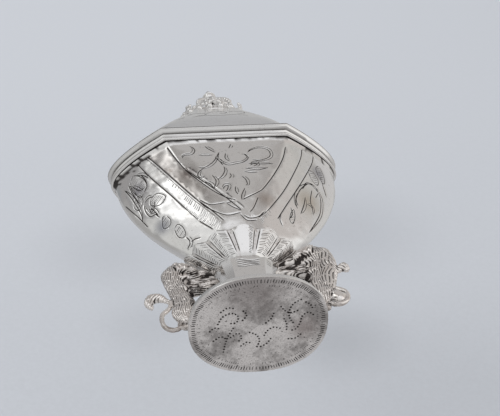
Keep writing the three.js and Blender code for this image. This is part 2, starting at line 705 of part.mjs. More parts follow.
function makeLid() {
  const soft = RIM_FILLET / 3;
  const lipTop = Z_LID_RIM + RIM_FILLET + soft;
  const middle = (lipTop + Z_DOME) / 2;
  const domeSeat = LID_STEP - SOLDER_GAP;
  addPiece('lid_rim', moulding(rimPlan, [
    [-LID_RIM_WIDTH, Z_LID_RIM], [0, Z_LID_RIM],
    [LID_RIM_LIP / 2, Z_LID_RIM + soft], [LID_RIM_LIP, lipTop], [LID_RIM_LIP, lipTop + 2 * soft],
    [LID_RIM_LIP / 2, middle], [-(RIM_COVE + domeSeat) / 2, Z_DOME - soft],
    [-domeSeat, Z_DOME], [-LID_RIM_WIDTH, Z_DOME],
  ]), silver);

  const insideTop = Z_DOME_TOP - LID_WALL;
  const inside = levels(0, 1, 6).reverse().map((share) => {
    const z = Z_DOME + (insideTop - Z_DOME) * Math.sin((Math.PI / 2) * share);
    return planRing(lidPlan(z), -LID_WALL, z);
  });
  const outside = levels(0, 1, 7).map((share) => {
    const z = Z_DOME + LID_HEIGHT * Math.sin((Math.PI / 2) * share);
    return planRing(lidPlan(z), 0, z);
  });
  addPiece('lid_shell', skin([...inside, ...outside]), silver);
}

// A round limb along a flat path in the XZ plane, with a radius at each point and rounded ends.
function limb(points, radii, { flatness = 1, steps = 2, sides = 8 } = {}) {
  const path = points.map(([x, z]) => new THREE.Vector3(x, 0, z));
  const curve = new THREE.CatmullRomCurve3(path);
  const count = steps * (points.length - 1);
  const across = new THREE.Vector3(0, 1, 0);
  const ringAt = (t, radius, slide) => {
    const tangent = curve.getTangent(t);
    const centre = curve.getPoint(t).addScaledVector(tangent, slide);
    const normal = new THREE.Vector3().crossVectors(across, tangent).normalize();
    return evenShares(sides).map((share) => {
      const angle = 2 * Math.PI * (share + 0.5 / sides);
      return centre.clone()
        .addScaledVector(normal, radius * Math.cos(angle))
        .addScaledVector(across, radius * flatness * Math.sin(angle));
    });
  };
  const radiusAt = (t) => {
    const at = t * (points.length - 1);
    const index = Math.min(Math.floor(at), points.length - 2);
    return THREE.MathUtils.lerp(radii[index], radii[index + 1], at - index);
  };
  const [first, last] = [radii[0], radii[radii.length - 1]];
  const END_RINGS = [[0.5, 0.85], [0.87, 0.5]]; // share of the radius, and how far out
  const rings = END_RINGS.map(([share, out]) => ringAt(0, first * share, -first * out));
  for (let i = 0; i <= count; i += 1) rings.push(ringAt(i / count, radiusAt(i / count), 0));
  END_RINGS.slice().reverse().forEach(([share, out]) => rings.push(ringAt(1, last * share, last * out)));
  return skin(rings);
}

// Crown

const CROWN_POINTS = 32;

function oval(halfWidth, halfDepth, z) {
  return evenShares(CROWN_POINTS).map((share) => {
    const angle = 2 * Math.PI * share;
    return new THREE.Vector3(halfWidth * Math.cos(angle), halfDepth * Math.sin(angle), z);
  });
}

// Distance from the crown's axis to the middle of the circlet's wall, in a direction.
function circletReach(angle, inset) {
  const halfWidth = CIRCLET_HALF_WIDTH + CIRCLET_FLARE - inset;
  const halfDepth = CIRCLET_HALF_DEPTH + CIRCLET_FLARE - inset;
  return (halfWidth * halfDepth) / Math.hypot(halfDepth * Math.cos(angle), halfWidth * Math.sin(angle));
}

function makeCrown() {
  const addToCrown = (name, geometry, material) => (
    addPiece(name, geometry.translate(CROWN_SHIFT, 0, 0), material)
  );
  const wide = LID_TOP_HALF_WIDTH + PLINTH_OVERHANG;
  const deep = LID_TOP_HALF_DEPTH + PLINTH_OVERHANG;
  addToCrown('crown_plinth', skin([
    oval(wide - PLINTH_OVERHANG, deep - PLINTH_OVERHANG, Z_DOME_TOP),
    oval(wide, deep, Z_DOME_TOP + PLINTH_HEIGHT / 3),
    oval(wide, deep, Z_DOME_TOP + (2 * PLINTH_HEIGHT) / 3),
    oval(wide - PLINTH_OVERHANG, deep - PLINTH_OVERHANG, Z_PLINTH_TOP),
  ]), silver);

  const [outX, outY] = [CIRCLET_HALF_WIDTH, CIRCLET_HALF_DEPTH];
  const hoop = skin([
    oval(outX - CIRCLET_WALL, outY - CIRCLET_WALL, Z_PLINTH_TOP),
    oval(outX, outY, Z_PLINTH_TOP),
    oval(outX + CIRCLET_FLARE, outY + CIRCLET_FLARE, Z_CIRCLET_TOP),
    oval(outX + CIRCLET_FLARE - CIRCLET_WALL, outY + CIRCLET_FLARE - CIRCLET_WALL, Z_CIRCLET_TOP),
  ], true);
  const leaves = [];
  for (let i = 0; i < LEAF_COUNT; i += 1) {
    const angle = (2 * Math.PI * (i + 0.5)) / LEAF_COUNT;
    const reach = circletReach(angle, CIRCLET_WALL / 2);
    const low = Z_CIRCLET_TOP - LEAF_RADIUS / 2;
    const leaf = limb([[0, low], [0, low + LEAF_HEIGHT / 2], [0.15, low + LEAF_HEIGHT]],
      [LEAF_RADIUS * 0.6, LEAF_RADIUS, LEAF_RADIUS * 0.4], { steps: 1, sides: 6 });
    leaf.scale(0.55, 1, 1);
    leaf.translate(reach, 0, 0);
    leaf.rotateZ(angle);
    leaves.push(leaf);
  }
  addToCrown('crown_circlet', joined([hoop, ...leaves]), castSilver);

  const arches = [new THREE.CylinderGeometry(HUB_RADIUS, HUB_RADIUS, HUB_HEIGHT, 16)
    .rotateX(Math.PI / 2).translate(0, 0, Z_HUB - HUB_HEIGHT / 2)];
  for (let i = 0; i < ARCH_COUNT; i += 1) {
    const angle = (2 * Math.PI * i) / ARCH_COUNT;
    const reach = circletReach(angle, CIRCLET_WALL / 2);
    const foot = Z_CIRCLET_TOP + SOLDER_GAP + ARCH_RADIUS;
    const rise = Z_HUB - HUB_HEIGHT / 2 - foot;
    const arch = limb([
      [reach, foot], [reach * 0.86, foot + rise * 0.27], [reach * 0.65, foot + rise * 0.54],
      [reach * 0.38, foot + rise * 0.8], [HUB_RADIUS * 0.6, foot + rise * 0.95],
    ], Array(5).fill(ARCH_RADIUS), { steps: 1, sides: 6 });
    arch.rotateZ(angle);
    arches.push(arch);
  }
  addToCrown('crown_arches', joined(arches), castSilver);

  const orbLow = Z_HUB + SOLDER_GAP;
  const profile = [[0, 0], [KNOB_RADIUS, 0]];
  for (let i = 1; i <= 8; i += 1) {
    const angle = -Math.PI / 2 + (Math.PI * i) / 9;
    profile.push([ORB_RADIUS * Math.cos(angle), ORB_RADIUS + ORB_RADIUS * Math.sin(angle)]);
  }
  for (let i = 1; i <= 5; i += 1) {
    const angle = -Math.PI / 2 + (Math.PI * (i + 1)) / 6;
    const radius = i === 5 ? 0 : KNOB_RADIUS * Math.cos(angle);
    profile.push([radius, 2 * ORB_RADIUS + KNOB_RADIUS * 0.7 + KNOB_RADIUS * Math.sin(angle)]);
  }
  const orb = new THREE.LatheGeometry(profile.map(([x, y]) => new THREE.Vector2(x, y)), 14);
  orb.rotateX(Math.PI / 2);
  orb.translate(0, 0, orbLow);
  addToCrown('crown_orb', orb, castSilver);
}

// Lions, each one casting that stands on the foot and holds the calyx with its forepaws

// Outline of the stem and the calyx's end, from the foot up, as the lions face it.
function holderProfile() {
  const stem = levels(Z_FOOT_TOP, Z_STEM_TOP, 12).map((z) => ({ x: stemRing(z, 0)[2].x, z }));
  const calyx = evenShares(20).map((rise) => calyxPoint(0.25, rise, RUN_GAP + CALYX_WALL, PETAL_CROWN));
  return [...stem, ...calyx];
}

// Smallest X at which a ball of this radius clears the stem and the calyx by the running gap.
function clearOfHolder(z, radius) {
  const profile = holderProfile();
  const below = profile.filter((point) => point.z <= z);
  let x = below[below.length - 1].x + radius;
  while (profile.some((point) => Math.hypot(point.x - x, point.z - z) < radius + RUN_GAP)) x += 0.05;
  return x;
}

// Each limb lists points (distance out from the back's line, share of the lion's height) and radii.
const LION_LIMBS = [
  { radii: [2.3, 2.2, 2.3, 2.5], steps: 1, points: [[-1.4, 0.22], [-1.3, 0.38], [-1.1, 0.55], [-0.7, 0.7]] },
  { radii: [2.5, 2.1], steps: 2, points: [[-0.8, 0.73], [-1.5, 0.83]] },
  { radii: [1.3, 0.75], steps: 1, points: [[-2.2, 0.81], [-3.3, 0.79]] },
  { radii: [1.7, 1.2], steps: 1, points: [[-0.9, 0.2], [-1.1, 0.09]] },
];
const LION_BODY_WIDTH = 5.2; // the trunk's width, which the lion's thickness is set against
const ARM_RADIUS = 0.85;
const SHOULDER_RADIUS = 1.25;
const LOW_ARM = { shoulder: [-2.6, 0.51], elbow: [-4.6, 0.52], paw: 0.58 };
const HIGH_ARM = { shoulder: [-2.2, 0.7], elbow: [-4.1, 0.695], paw: 0.71 };
const TAIL_LOOP_STEPS = 7;
const TUFT = {
  radii: [0.5, 0.9, 1.0, 0.6],
  points: [[1.3, 0.42], [2.7, 0.475], [3.8, 0.45], [4.0, 0.365]],
};

function makeLion(name, side, tuftRise) {
  const flatness = LION_THICKNESS / LION_BODY_WIDTH;
  const foot = FOOT_HALF_WIDTH - LION_STANCE;
  const back = FOOT_HALF_WIDTH + LION_REACH;
  const paw = LION_PAW_RADIUS;
  const low = Z_WIRE_TOP + SOLDER_GAP + paw;
  const place = ([out, share]) => [back + out, THREE.MathUtils.lerp(low, Z_CALYX_TOP, share)];
  const pieces = LION_LIMBS.map(({ points, radii, steps }) => (
    limb(points.map(place), radii, { flatness, steps })
  ));

  const [hipX, hipZ] = place([-1.6, 0.24]);
  const [, kneeZ] = place([0, 0.11]);
  pieces.push(limb([[hipX, hipZ], [foot + paw, kneeZ], [foot, low]], [2.1, 1.3, paw], { flatness: 0.8 }));
  pieces.push(limb([[foot - paw / 2, low], [foot + 1.5 * paw, low]], [paw, paw], { steps: 1 }));
  for (const arm of [LOW_ARM, HIGH_ARM]) {
    const [, pawZ] = place([0, arm.paw]);
    const points = [place(arm.shoulder), place(arm.elbow), [clearOfHolder(pawZ, paw), pawZ]];
    pieces.push(limb(points, [SHOULDER_RADIUS, ARM_RADIUS, paw], { flatness: 0.9 }));
  }

  const [loopX, loopZ] = place([0.6, 0.145]);
  const tail = [place([-0.8, 0.06])];
  for (let i = 0; i <= TAIL_LOOP_STEPS; i += 1) {
    const angle = THREE.MathUtils.degToRad(THREE.MathUtils.lerp(-95, 75, i / TAIL_LOOP_STEPS));
    tail.push([
      loopX + TAIL_LOOP_HALF_WIDTH * Math.cos(angle),
      loopZ + TAIL_LOOP_HALF_HEIGHT * Math.sin(angle),
    ]);
  }
  const tuft = TUFT.points.map(place).map(([x, z]) => [x, z + tuftRise]);
  tail.push(place([0.6, 0.33]), place([0.5, 0.38]), tuft[0]);
  pieces.push(limb(tail, tail.map(() => TAIL_RADIUS), { steps: 1, sides: 6 }));
  pieces.push(limb(tuft, TUFT.radii, { steps: 2 }));
  const lion = joined(pieces);
  lion.rotateZ(THREE.MathUtils.degToRad(side > 0 ? -LION_TURN_DEG : 180 - LION_TURN_DEG));
  addPiece(name, lion, castSilver);
}

makeFoot();
makeStem();
makeCalyx();
makeBody();
makeSponge();
makeGrille();
makeGrilleHinge();
makeLidHinge();
makeLid();
makeCrown();
makeLion('lion_left', -1, 0);
makeLion('lion_right', 1, RIGHT_TUFT_RISE);

export default part;
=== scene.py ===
# %% [markdown]
# ## A silver scent box, dressed in Blender
# The box is heart-shaped, with a crowned lid, a fluted cup under the body, two lions and an oval foot.
# The CAD model gives every piece its place and size. This lesson gives the visible pieces their engraving,
# their castings and the look of old silver.

# %% Load the frame
import math

import bpy
import numpy as np
from mathutils import Matrix, Vector, kdtree, noise
from mathutils.geometry import delaunay_2d_cdt


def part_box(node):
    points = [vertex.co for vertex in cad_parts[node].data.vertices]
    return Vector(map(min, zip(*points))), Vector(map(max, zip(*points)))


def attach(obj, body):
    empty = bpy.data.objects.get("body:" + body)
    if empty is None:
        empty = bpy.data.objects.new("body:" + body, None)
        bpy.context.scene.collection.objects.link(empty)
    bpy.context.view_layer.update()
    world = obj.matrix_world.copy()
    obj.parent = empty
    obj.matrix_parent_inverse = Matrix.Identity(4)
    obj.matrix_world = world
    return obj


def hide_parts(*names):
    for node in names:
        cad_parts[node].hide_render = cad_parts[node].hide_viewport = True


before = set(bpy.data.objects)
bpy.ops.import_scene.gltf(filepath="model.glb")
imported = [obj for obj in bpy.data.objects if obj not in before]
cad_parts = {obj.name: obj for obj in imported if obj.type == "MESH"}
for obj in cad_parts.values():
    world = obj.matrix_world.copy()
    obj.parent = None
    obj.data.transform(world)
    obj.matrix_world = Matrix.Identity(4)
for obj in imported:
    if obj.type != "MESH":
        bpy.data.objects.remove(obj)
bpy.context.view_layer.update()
MM = 0.001

# %% [markdown]
# ## The camera
# The box lies on its back on pale paper, and the camera looks down on it from the foot's end. In the
# model it stands upright, so the camera looks up from below and in front instead. The angles and the
# distance were fitted to the rims and the foot, which have known shapes.

# %% Camera
TURN = math.radians(9.62)
LOOK = math.radians(34.0)
ROLL = math.radians(-2.81)
DISTANCE = 0.3135
SLIDE_RIGHT = 0.0015
SLIDE_UP = -0.0204

sideways = Vector((math.cos(TURN), 0, -math.sin(TURN)))
upward = Vector((math.sin(TURN) * math.sin(LOOK), -math.cos(LOOK), math.cos(TURN) * math.sin(LOOK)))
forward = Vector((math.sin(TURN) * math.cos(LOOK), math.sin(LOOK), math.cos(TURN) * math.cos(LOOK)))
camera_right = sideways * math.cos(ROLL) - upward * math.sin(ROLL)
camera_up = sideways * math.sin(ROLL) + upward * math.cos(ROLL)
bpy.ops.object.camera_add()
camera = bpy.context.object
camera.name = "camera"
camera.matrix_world = Matrix((camera_right, camera_up, -forward)).transposed().to_4x4()
camera.location = -forward * DISTANCE - camera_right * SLIDE_RIGHT - camera_up * SLIDE_UP
camera.data.lens = 130.0
camera.data.sensor_width = 36.0
camera.data.clip_start = 0.01
bpy.context.scene.camera = camera
print("camera at", [round(v / MM, 1) for v in camera.location], "mm")

# %% [markdown]
# ## Shader maths as Python
# A material is a small calculation for each point of a surface. This class wraps a socket, so that
# `1 - mask * 0.5` adds the Math nodes by itself. Every other node comes from `Recipe.node`.

# %% Shader maths
class Value:
    """A node's output that Python can calculate with."""

    def __init__(self, recipe, socket):
        self.recipe = recipe
        self.socket = socket

    def __add__(self, other):
        return self.recipe.maths("ADD", self, other)

    def __mul__(self, other):
        return self.recipe.maths("MULTIPLY", self, other)

    def __sub__(self, other):
        return self.recipe.maths("SUBTRACT", self, other)

    def __rsub__(self, other):
        return self.recipe.maths("SUBTRACT", other, self)

    __radd__ = __add__
    __rmul__ = __mul__


class Recipe:
    """Adds nodes to a tree. Their kinds are written without the ShaderNode that they all start with."""

    def __init__(self, tree):
        self.tree = tree
        tree.nodes.clear()

    def node(self, kind, inputs=None, output=0, **settings):
        made = self.tree.nodes.new("ShaderNode" + kind)
        for key, value in settings.items():
            setattr(made, key, value)
        for key, value in (inputs or {}).items():
            if isinstance(value, Value):
                self.tree.links.new(value.socket, made.inputs[key])
            else:
                made.inputs[key].default_value = value
        return Value(self, made.outputs[output])

    def maths(self, operation, first, second=0.0):
        return self.node("Math", {0: first, 1: second}, operation=operation)

    def vector(self, operation, inputs, output=0):
        return self.node("VectorMath", inputs, output, operation=operation)

    def mix(self, factor, first, second):
        inputs = {0: factor}
        for key, colour in ((6, first), (7, second)):
            inputs[key] = colour if isinstance(colour, Value) else (*colour, 1)
        return self.node("Mix", inputs, output=2, data_type="RGBA")

    def step(self, value, low, high):
        """0 below low and 1 above high, with a smooth change between. It falls where low is above high."""
        ends = {1: low, 2: high, 3: 0, 4: 1} if low < high else {1: high, 2: low, 3: 1, 4: 0}
        return self.node("MapRange", {0: value, **ends}, interpolation_type="SMOOTHSTEP")

    def place(self):
        return self.node("TexCoord", output=3)

    def height(self):
        """How far up the piece a place lies, in metres."""
        return self.node("SeparateXYZ", {0: self.place()}, output=2)

    def clouds(self, size, detail, stretch=(1, 1, 1), roughness=0.5):
        """Noise whose blobs are about this many millimetres across."""
        vector = self.node("Mapping", {0: self.place(), 3: stretch})
        return self.node("TexNoise", {0: vector, 2: 1 / (size * MM), 3: detail, 4: roughness})

    def spot(self, centre, radius):
        """1 in the middle of a round spot at a place in millimetres, and 0 at its radius."""
        ends = {0: self.place(), 1: tuple(v * MM for v in centre)}
        return self.step(self.vector("DISTANCE", ends, output=1), radius * MM, 0)

    def attribute(self, name):
        return self.node("Attribute", output=2, attribute_name=name)

    def bump(self, height, strength, distance):
        return self.node("Bump", {"Strength": strength, "Distance": distance * MM, "Height": height})

    def surface(self, colour, roughness, normal, metallic=1.0):
        values = {"Base Color": colour, "Metallic": metallic, "Roughness": roughness, "Normal": normal}
        self.finish(self.node("BsdfPrincipled", values))

    def finish(self, shader, kind="OutputMaterial"):
        last = self.tree.nodes.new("ShaderNode" + kind)
        self.tree.links.new(shader.socket, last.inputs[0])


def new_material(name):
    material = bpy.data.materials.new(name)
    material.use_nodes = True
    return material, Recipe(material.node_tree)


print("shader maths ready")

# %% [markdown]
# ## Paper, floor and light
# The box was laid on its back on pale paper. Here the sheet of paper leans the same way but stands back,
# so that the lid can open in front of it. The box's soft shadow beside it is painted on the paper in grey,
# and a pool of brighter light towards its top is painted too. A floor under the foot serves the views from
# above. Both show to the camera only, and only their front, so they don't shut the light out from behind.
# Part of their brightness is their own and the rest is light that the box can shade.

# %% Paper and floor
PAPER = (0.555, 0.58, 0.624)
PAPER_SIZE = 3.0
PAPER_GAP = 0.15
PAPER_BACK = 33.0
# Painted shadows of the box on the paper: place and radius in millimetres, and strength.
PAPER_SHADES = [
    ((26, 47, 54), 20, 0.21),
    ((36, 50, 96), 30, 0.14),
    ((-19, 50, 92), 24, 0.12),
    ((-13, 47, 62), 16, 0.10),
]
OWN_LIGHT = 0.55
SHADE_GREY = (0.12, 0.125, 0.14)
PAPER_DARKER, PAPER_LIGHTER, PAPER_PAINTED_LIGHT = 0.955, 1.035, 1.13
# A painted pool of brighter light towards the top of the paper: its middle and radius in millimetres.
PAINTED_LIGHT_PLACE, PAINTED_LIGHT_RADIUS = (20, 20, 250), 340


def deselect():
    if bpy.context.mode != "OBJECT":
        bpy.ops.object.mode_set(mode="OBJECT")
    bpy.ops.object.select_all(action="DESELECT")


def paper_times(factor):
    return tuple(v * factor for v in PAPER)


def paper_material():
    material, recipe = new_material("pale_paper")
    grain = recipe.clouds(1.1, 4, roughness=0.7) * 0.6 + recipe.clouds(90, 2) * 0.4
    colour = recipe.mix(recipe.step(grain, 0.3, 0.7), paper_times(PAPER_DARKER), paper_times(PAPER_LIGHTER))
    # A painted pool of brighter light, then the box's painted shadows in grey.
    colour = recipe.mix(recipe.spot(PAINTED_LIGHT_PLACE, PAINTED_LIGHT_RADIUS), colour, paper_times(PAPER_PAINTED_LIGHT))
    for place, radius, strength in PAPER_SHADES:
        colour = recipe.mix(recipe.spot(place, radius) * strength, colour, SHADE_GREY)
    glow = recipe.node("Emission", {0: colour, 1: 1.0})
    matt = recipe.node("BsdfDiffuse", {0: colour})
    lit = recipe.node("MixShader", {0: 1 - OWN_LIGHT, 1: glow, 2: matt})
    clear = recipe.node("BsdfTransparent")
    behind = recipe.node("NewGeometry", output=6)
    recipe.finish(recipe.node("MixShader", {0: behind, 1: lit, 2: clear}))
    return material


def lay_paper(name, material, tilt, place):
    deselect()
    bpy.ops.mesh.primitive_plane_add(size=PAPER_SIZE, rotation=(tilt, 0, 0), location=place)
    sheet = bpy.context.object
    sheet.name = name
    bpy.ops.object.transform_apply(location=True, rotation=True, scale=True)
    sheet.data.materials.append(material)
    for ray in ("diffuse", "glossy", "transmission", "shadow"):
        setattr(sheet, "visible_" + ray, False)


foot_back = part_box("foot_plate")[1].y
hinge_low, hinge_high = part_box("lid_hinge_knuckle_left")
paper_lean = math.atan2(hinge_high.y - foot_back, (hinge_low.z + hinge_high.z) / 2)
paper = paper_material()
lay_paper("paper_behind", paper, math.pi / 2 - paper_lean, (0, foot_back + PAPER_BACK * MM, 0))
lay_paper("floor", paper, 0, (0, 0, -PAPER_GAP * MM))
print("paper leans", round(math.degrees(paper_lean), 2), "degrees")

# %% [markdown]
# ## A studio for silver
# Polished silver has no colour of its own to speak of: it shows the room. So the room matters more than
# the lamps. Each row below is a direction in the room and how bright it is there: white screens below
# and to the left with a dark gap beside them, a warmer right, grey paper behind. A direction is given as
# degrees to the right of the front, and up. Between two rows the room blends them.
# The camera itself sees plain pale grey, whatever the box reflects. The lamps are for the paper and the
# sponge, so the silver doesn't show them.

# %% World and lamps
ROOM = [
    ((8, 52), (0.46, 0.445, 0.44)),
    ((8, 32), (0.47, 0.455, 0.445)),
    ((-12, 34), (0.34, 0.325, 0.315)),
    ((-25, 27), (0.24, 0.23, 0.22)),
    ((-43, 38), (0.40, 0.40, 0.395)),
    ((-37, 26), (2.7, 2.7, 2.68)),
    ((-38, 12), (0.76, 0.76, 0.75)),
    ((-47, 20), (0.28, 0.28, 0.29)),
    ((-58, 36), (0.30, 0.295, 0.30)),
    ((-75, 50), (0.32, 0.31, 0.31)),
    ((-60, 8), (0.62, 0.62, 0.61)),
    ((-88, 18), (0.38, 0.375, 0.37)),
    ((28, 30), (0.38, 0.36, 0.35)),
    ((46, 18), (0.54, 0.50, 0.48)),
    ((50, 31), (0.59, 0.57, 0.55)),
    ((62, 38), (0.48, 0.47, 0.45)),
    ((82, 42), (0.58, 0.57, 0.57)),
    ((98, 25), (0.60, 0.59, 0.58)),
    ((0, 78), (0.43, 0.43, 0.44)),
    ((-100, 70), (0.28, 0.29, 0.30)),
    ((165, 62), (0.50, 0.50, 0.50)),
    ((150, 35), (0.50, 0.50, 0.50)),
    ((-160, 35), (0.44, 0.44, 0.45)),
    ((5, 2), (0.86, 0.86, 0.88)),
    ((-32, 0), (0.70, 0.70, 0.70)),
    ((-10, -40), (0.60, 0.60, 0.60)),
    ((50, -10), (0.95, 0.94, 0.93)),
    ((60, -55), (0.42, 0.41, 0.41)),
    ((166, -55), (0.50, 0.49, 0.49)),
    ((-90, -40), (0.46, 0.46, 0.46)),
    ((120, -10), (0.45, 0.44, 0.44)),
    ((-140, -10), (0.42, 0.42, 0.43)),
]
BLEND_SHARPNESS = 75.0
LAMP_TARGET = Vector((0, 0, 0.035))


def towards(turn, rise):
    """A direction: turned from the front towards the right, and raised, in degrees."""
    turn, rise = math.radians(turn), math.radians(rise)
    return math.sin(turn) * math.cos(rise), -math.cos(turn) * math.cos(rise), math.sin(rise)


def studio_world():
    world = bpy.data.worlds.new("studio")
    world.use_nodes = True
    bpy.context.scene.world = world
    recipe = Recipe(world.node_tree)
    look = recipe.node("TexCoord")
    total = light = None
    for direction, colour in ROOM:
        nearness = recipe.vector("DOT_PRODUCT", {0: look, 1: towards(*direction)}, output=1)
        weight = recipe.maths("EXPONENT", (nearness - 1) * BLEND_SHARPNESS)
        share = recipe.vector("SCALE", {0: colour, 3: weight})
        total = total + weight if total else weight
        light = recipe.vector("ADD", {0: light, 1: share}) if light else share
    light = recipe.vector("SCALE", {0: light, 3: recipe.maths("DIVIDE", 1.0, total)})
    seen = recipe.node("LightPath")
    recipe.finish(recipe.node("Background", {0: recipe.mix(seen, light, PAPER), 1: 1.0}), "OutputWorld")


def area_lamp(name, place, size, power):
    bpy.ops.object.light_add(type="AREA", location=place)
    lamp = bpy.context.object
    lamp.name = name
    lamp.data.size = size
    lamp.data.energy = power
    lamp.visible_glossy = False
    lamp.rotation_euler = (LAMP_TARGET - Vector(place)).to_track_quat("-Z", "Y").to_euler()


studio_world()
area_lamp("key_lamp", (-0.50, -0.42, 0.16), 0.35, 1.9)
area_lamp("low_lamp", (-0.10, -0.30, -0.45), 0.50, 0.3)
print("room directions:", len(ROOM))

# %% [markdown]
# ## Old silver
# The box is polished where hands reach and grey in the hollows, with thin scratches and cloudy patches
# that cleaning left. The colour, the roughness and the small bumps all come from the same clouds, so
# a dull patch is also a rougher one. The attribute called cut is 1 at the bed of an engraved line,
# where the polish never reached and the metal is almost black; on the body, the rims and the lions it
# also carries painted shade. The attribute called tone is 1 where the metal is painted brown.

# %% Silver finishes
BRIGHT = (0.90, 0.895, 0.885)
DULL = (0.62, 0.60, 0.575)
DARK = (0.052, 0.045, 0.043)
TONE_BROWN = (0.34, 0.29, 0.26)


def silver_finish(name, bright, dull, smoothness, clouding, patches=(), blur=0.4, dents=0.0,
                  pitting=0.2, grit=0.0, bright_edge=False):
    """Silver whose clouding runs from 0, all bright, to 1, mostly dull. Patches are (place, radius, colour).

    dents is the height of its broad dents, in millimetres. pitting says how dark its small pits are,
    and grit how dark the grain is. bright_edge keeps what lies above a flat underside clean."""
    material, recipe = new_material(name)
    fine = recipe.clouds(0.9, 5, roughness=0.6)
    cloud = recipe.clouds(7, 3) * (1 - blur) + fine * blur
    haze = recipe.step(cloud, 0.66 - 0.3 * clouding, 0.80 - 0.22 * clouding)
    pits = recipe.step(recipe.clouds(0.5, 2), 0.62, 0.74)
    grain = recipe.step(recipe.clouds(0.28, 2), 0.42, 0.66)
    groove = recipe.step(recipe.attribute("cut"), 0.05, 0.55)
    layers = [(recipe.spot(place, radius) * 0.75, tint) for place, radius, tint in patches]
    layers += [(pits * pitting, DARK), (grain * grit, DARK)]
    if bright_edge:
        layers.append((recipe.step(recipe.height(), 0.02 * MM, 0.12 * MM), BRIGHT))
    layers += [(recipe.attribute("tone") * (0.55 + 0.45 * haze), TONE_BROWN), (groove, DARK)]
    colour = recipe.mix(haze * (0.4 + 0.5 * clouding), bright, dull)
    for share, tint in layers:
        colour = recipe.mix(share, colour, tint)
    rough = smoothness + haze * 0.10 + fine * 0.06 + groove * 0.3
    scratches = recipe.clouds(0.5, 3, stretch=(0.12, 1, 2.4))
    relief = scratches * 0.5 + recipe.clouds(3.2, 1) * 1.2 + fine * 0.3
    recipe.surface(colour, rough, recipe.bump(relief * 0.02 + recipe.clouds(6.5, 2) * dents, 0.5, 1.0))
    return material


silver = silver_finish("silver", BRIGHT, DULL, 0.17, 0.35)
# Spots painted on the body, as place, radius and colour. The grey-blue ones on the left end are painted
# reflections and the dark one high on the right end is painted shade; the brown ones and the cream one stand
# for tarnish and painted reflection together.
painted_reflections_and_tarnish = [
    ((-8.6, -8.6, 36.6), 3.2, (0.20, 0.16, 0.15)),
    ((5.0, -6.0, 29.0), 3.0, (0.40, 0.31, 0.25)),
    ((14.0, -4.4, 31.5), 4.5, (0.60, 0.53, 0.44)),
    ((17.2, -4.4, 40.5), 3.0, (0.32, 0.31, 0.34)),
    ((-14.2, -2.4, 28.0), 2.6, (0.26, 0.27, 0.32)),
    ((-17.6, -3.6, 38.5), 2.6, (0.42, 0.41, 0.45)),
]
body_silver = silver_finish("body_silver", BRIGHT, DULL, 0.15, 0.35, painted_reflections_and_tarnish, dents=1.1)
foot_patches = [((-1.0, -8.0, 0), 9.0, (0.30, 0.27, 0.265)), ((8.0, 1.0, 0), 4.0, (0.36, 0.31, 0.30))]
foot_silver = silver_finish("foot_silver", (0.90, 0.88, 0.87), (0.29, 0.275, 0.27), 0.30, 0.75,
                            foot_patches, blur=0.25, pitting=0.8, grit=0.22, bright_edge=True)
cast_silver = silver_finish("cast_silver", (0.96, 0.92, 0.89), (0.48, 0.41, 0.38), 0.13, 0.5)
crown_silver = silver_finish("crown_silver", (0.97, 0.965, 0.955), (0.45, 0.43, 0.42), 0.12, 0.5)
print("silver finishes:", len(bpy.data.materials))

# %% [markdown]
# ## Gilding and sponge
# The inside is gilt, because the scented vinegar would eat bare silver. Gilding on such a small box is
# thin and satin, and redder where it has worn. The sponge is matt, with pits.

# %% Gilt and sponge finishes
def gilt_finish():
    material, recipe = new_material("gilt")
    broad = recipe.clouds(5, 3)
    fine = recipe.clouds(0.6, 4)
    colour = recipe.mix(recipe.step(broad, 0.35, 0.7), (0.86, 0.62, 0.28), (0.74, 0.55, 0.34))
    colour = recipe.mix(recipe.step(fine, 0.5, 0.8) * 0.35, colour, (0.50, 0.33, 0.16))
    recipe.surface(colour, 0.24 + broad * 0.14, recipe.bump(fine, 0.2, 0.02))
    return material


def sponge_finish():
    material, recipe = new_material("sponge")
    pores = recipe.clouds(0.5, 5, roughness=0.65)
    colour = recipe.mix(recipe.step(pores, 0.3, 0.62), (0.30, 0.20, 0.10), (0.66, 0.49, 0.27))
    colour = recipe.mix(recipe.clouds(4, 2) * 0.3, colour, (0.50, 0.36, 0.20))
    recipe.surface(colour, 0.95, recipe.bump(pores, 0.7, 0.25), metallic=0.0)
    return material


gilt = gilt_finish()
sponge_cells = sponge_finish()
print("inside finishes:", gilt.name, "and", sponge_cells.name)

# %% [markdown]
# ## How a groove is cut
# The ornament on the box is engraved: a graver pushes a fine groove into the sheet, and the eye reads the
# dark bed and the bright edge beside it. A painted line or a bump would look flat from close up. Here the
# sheet of metal is really divided along both edges and the bed of each groove, and the bed is sunk.
# The drawing is made on a flat chart of the surface, in millimetres, and a Delaunay mesh is laid over it.

# %% A sheet that can be engraved
BED_SAMPLE = 0.1
CLEAR_OF_GROOVE = 0.2
BLACK_DEPTH = 0.55
TAPER = 0.5
THIN_END = 0.35
LONGEST_TAPER = 0.18
STROKE_SHARES = [[0], [0.18], [0.82], [1]]
DOT_CORNERS = 6
DOT_DEPTH = 0.12
BURR_LIMIT = 0.17
BURR_WIDTH = 0.11
BURR_FROM, BURR_TO = 0.6, 1.5
BURR_HEIGHT = 0.32


def lerp(first, last, share):
    return first + (last - first) * share


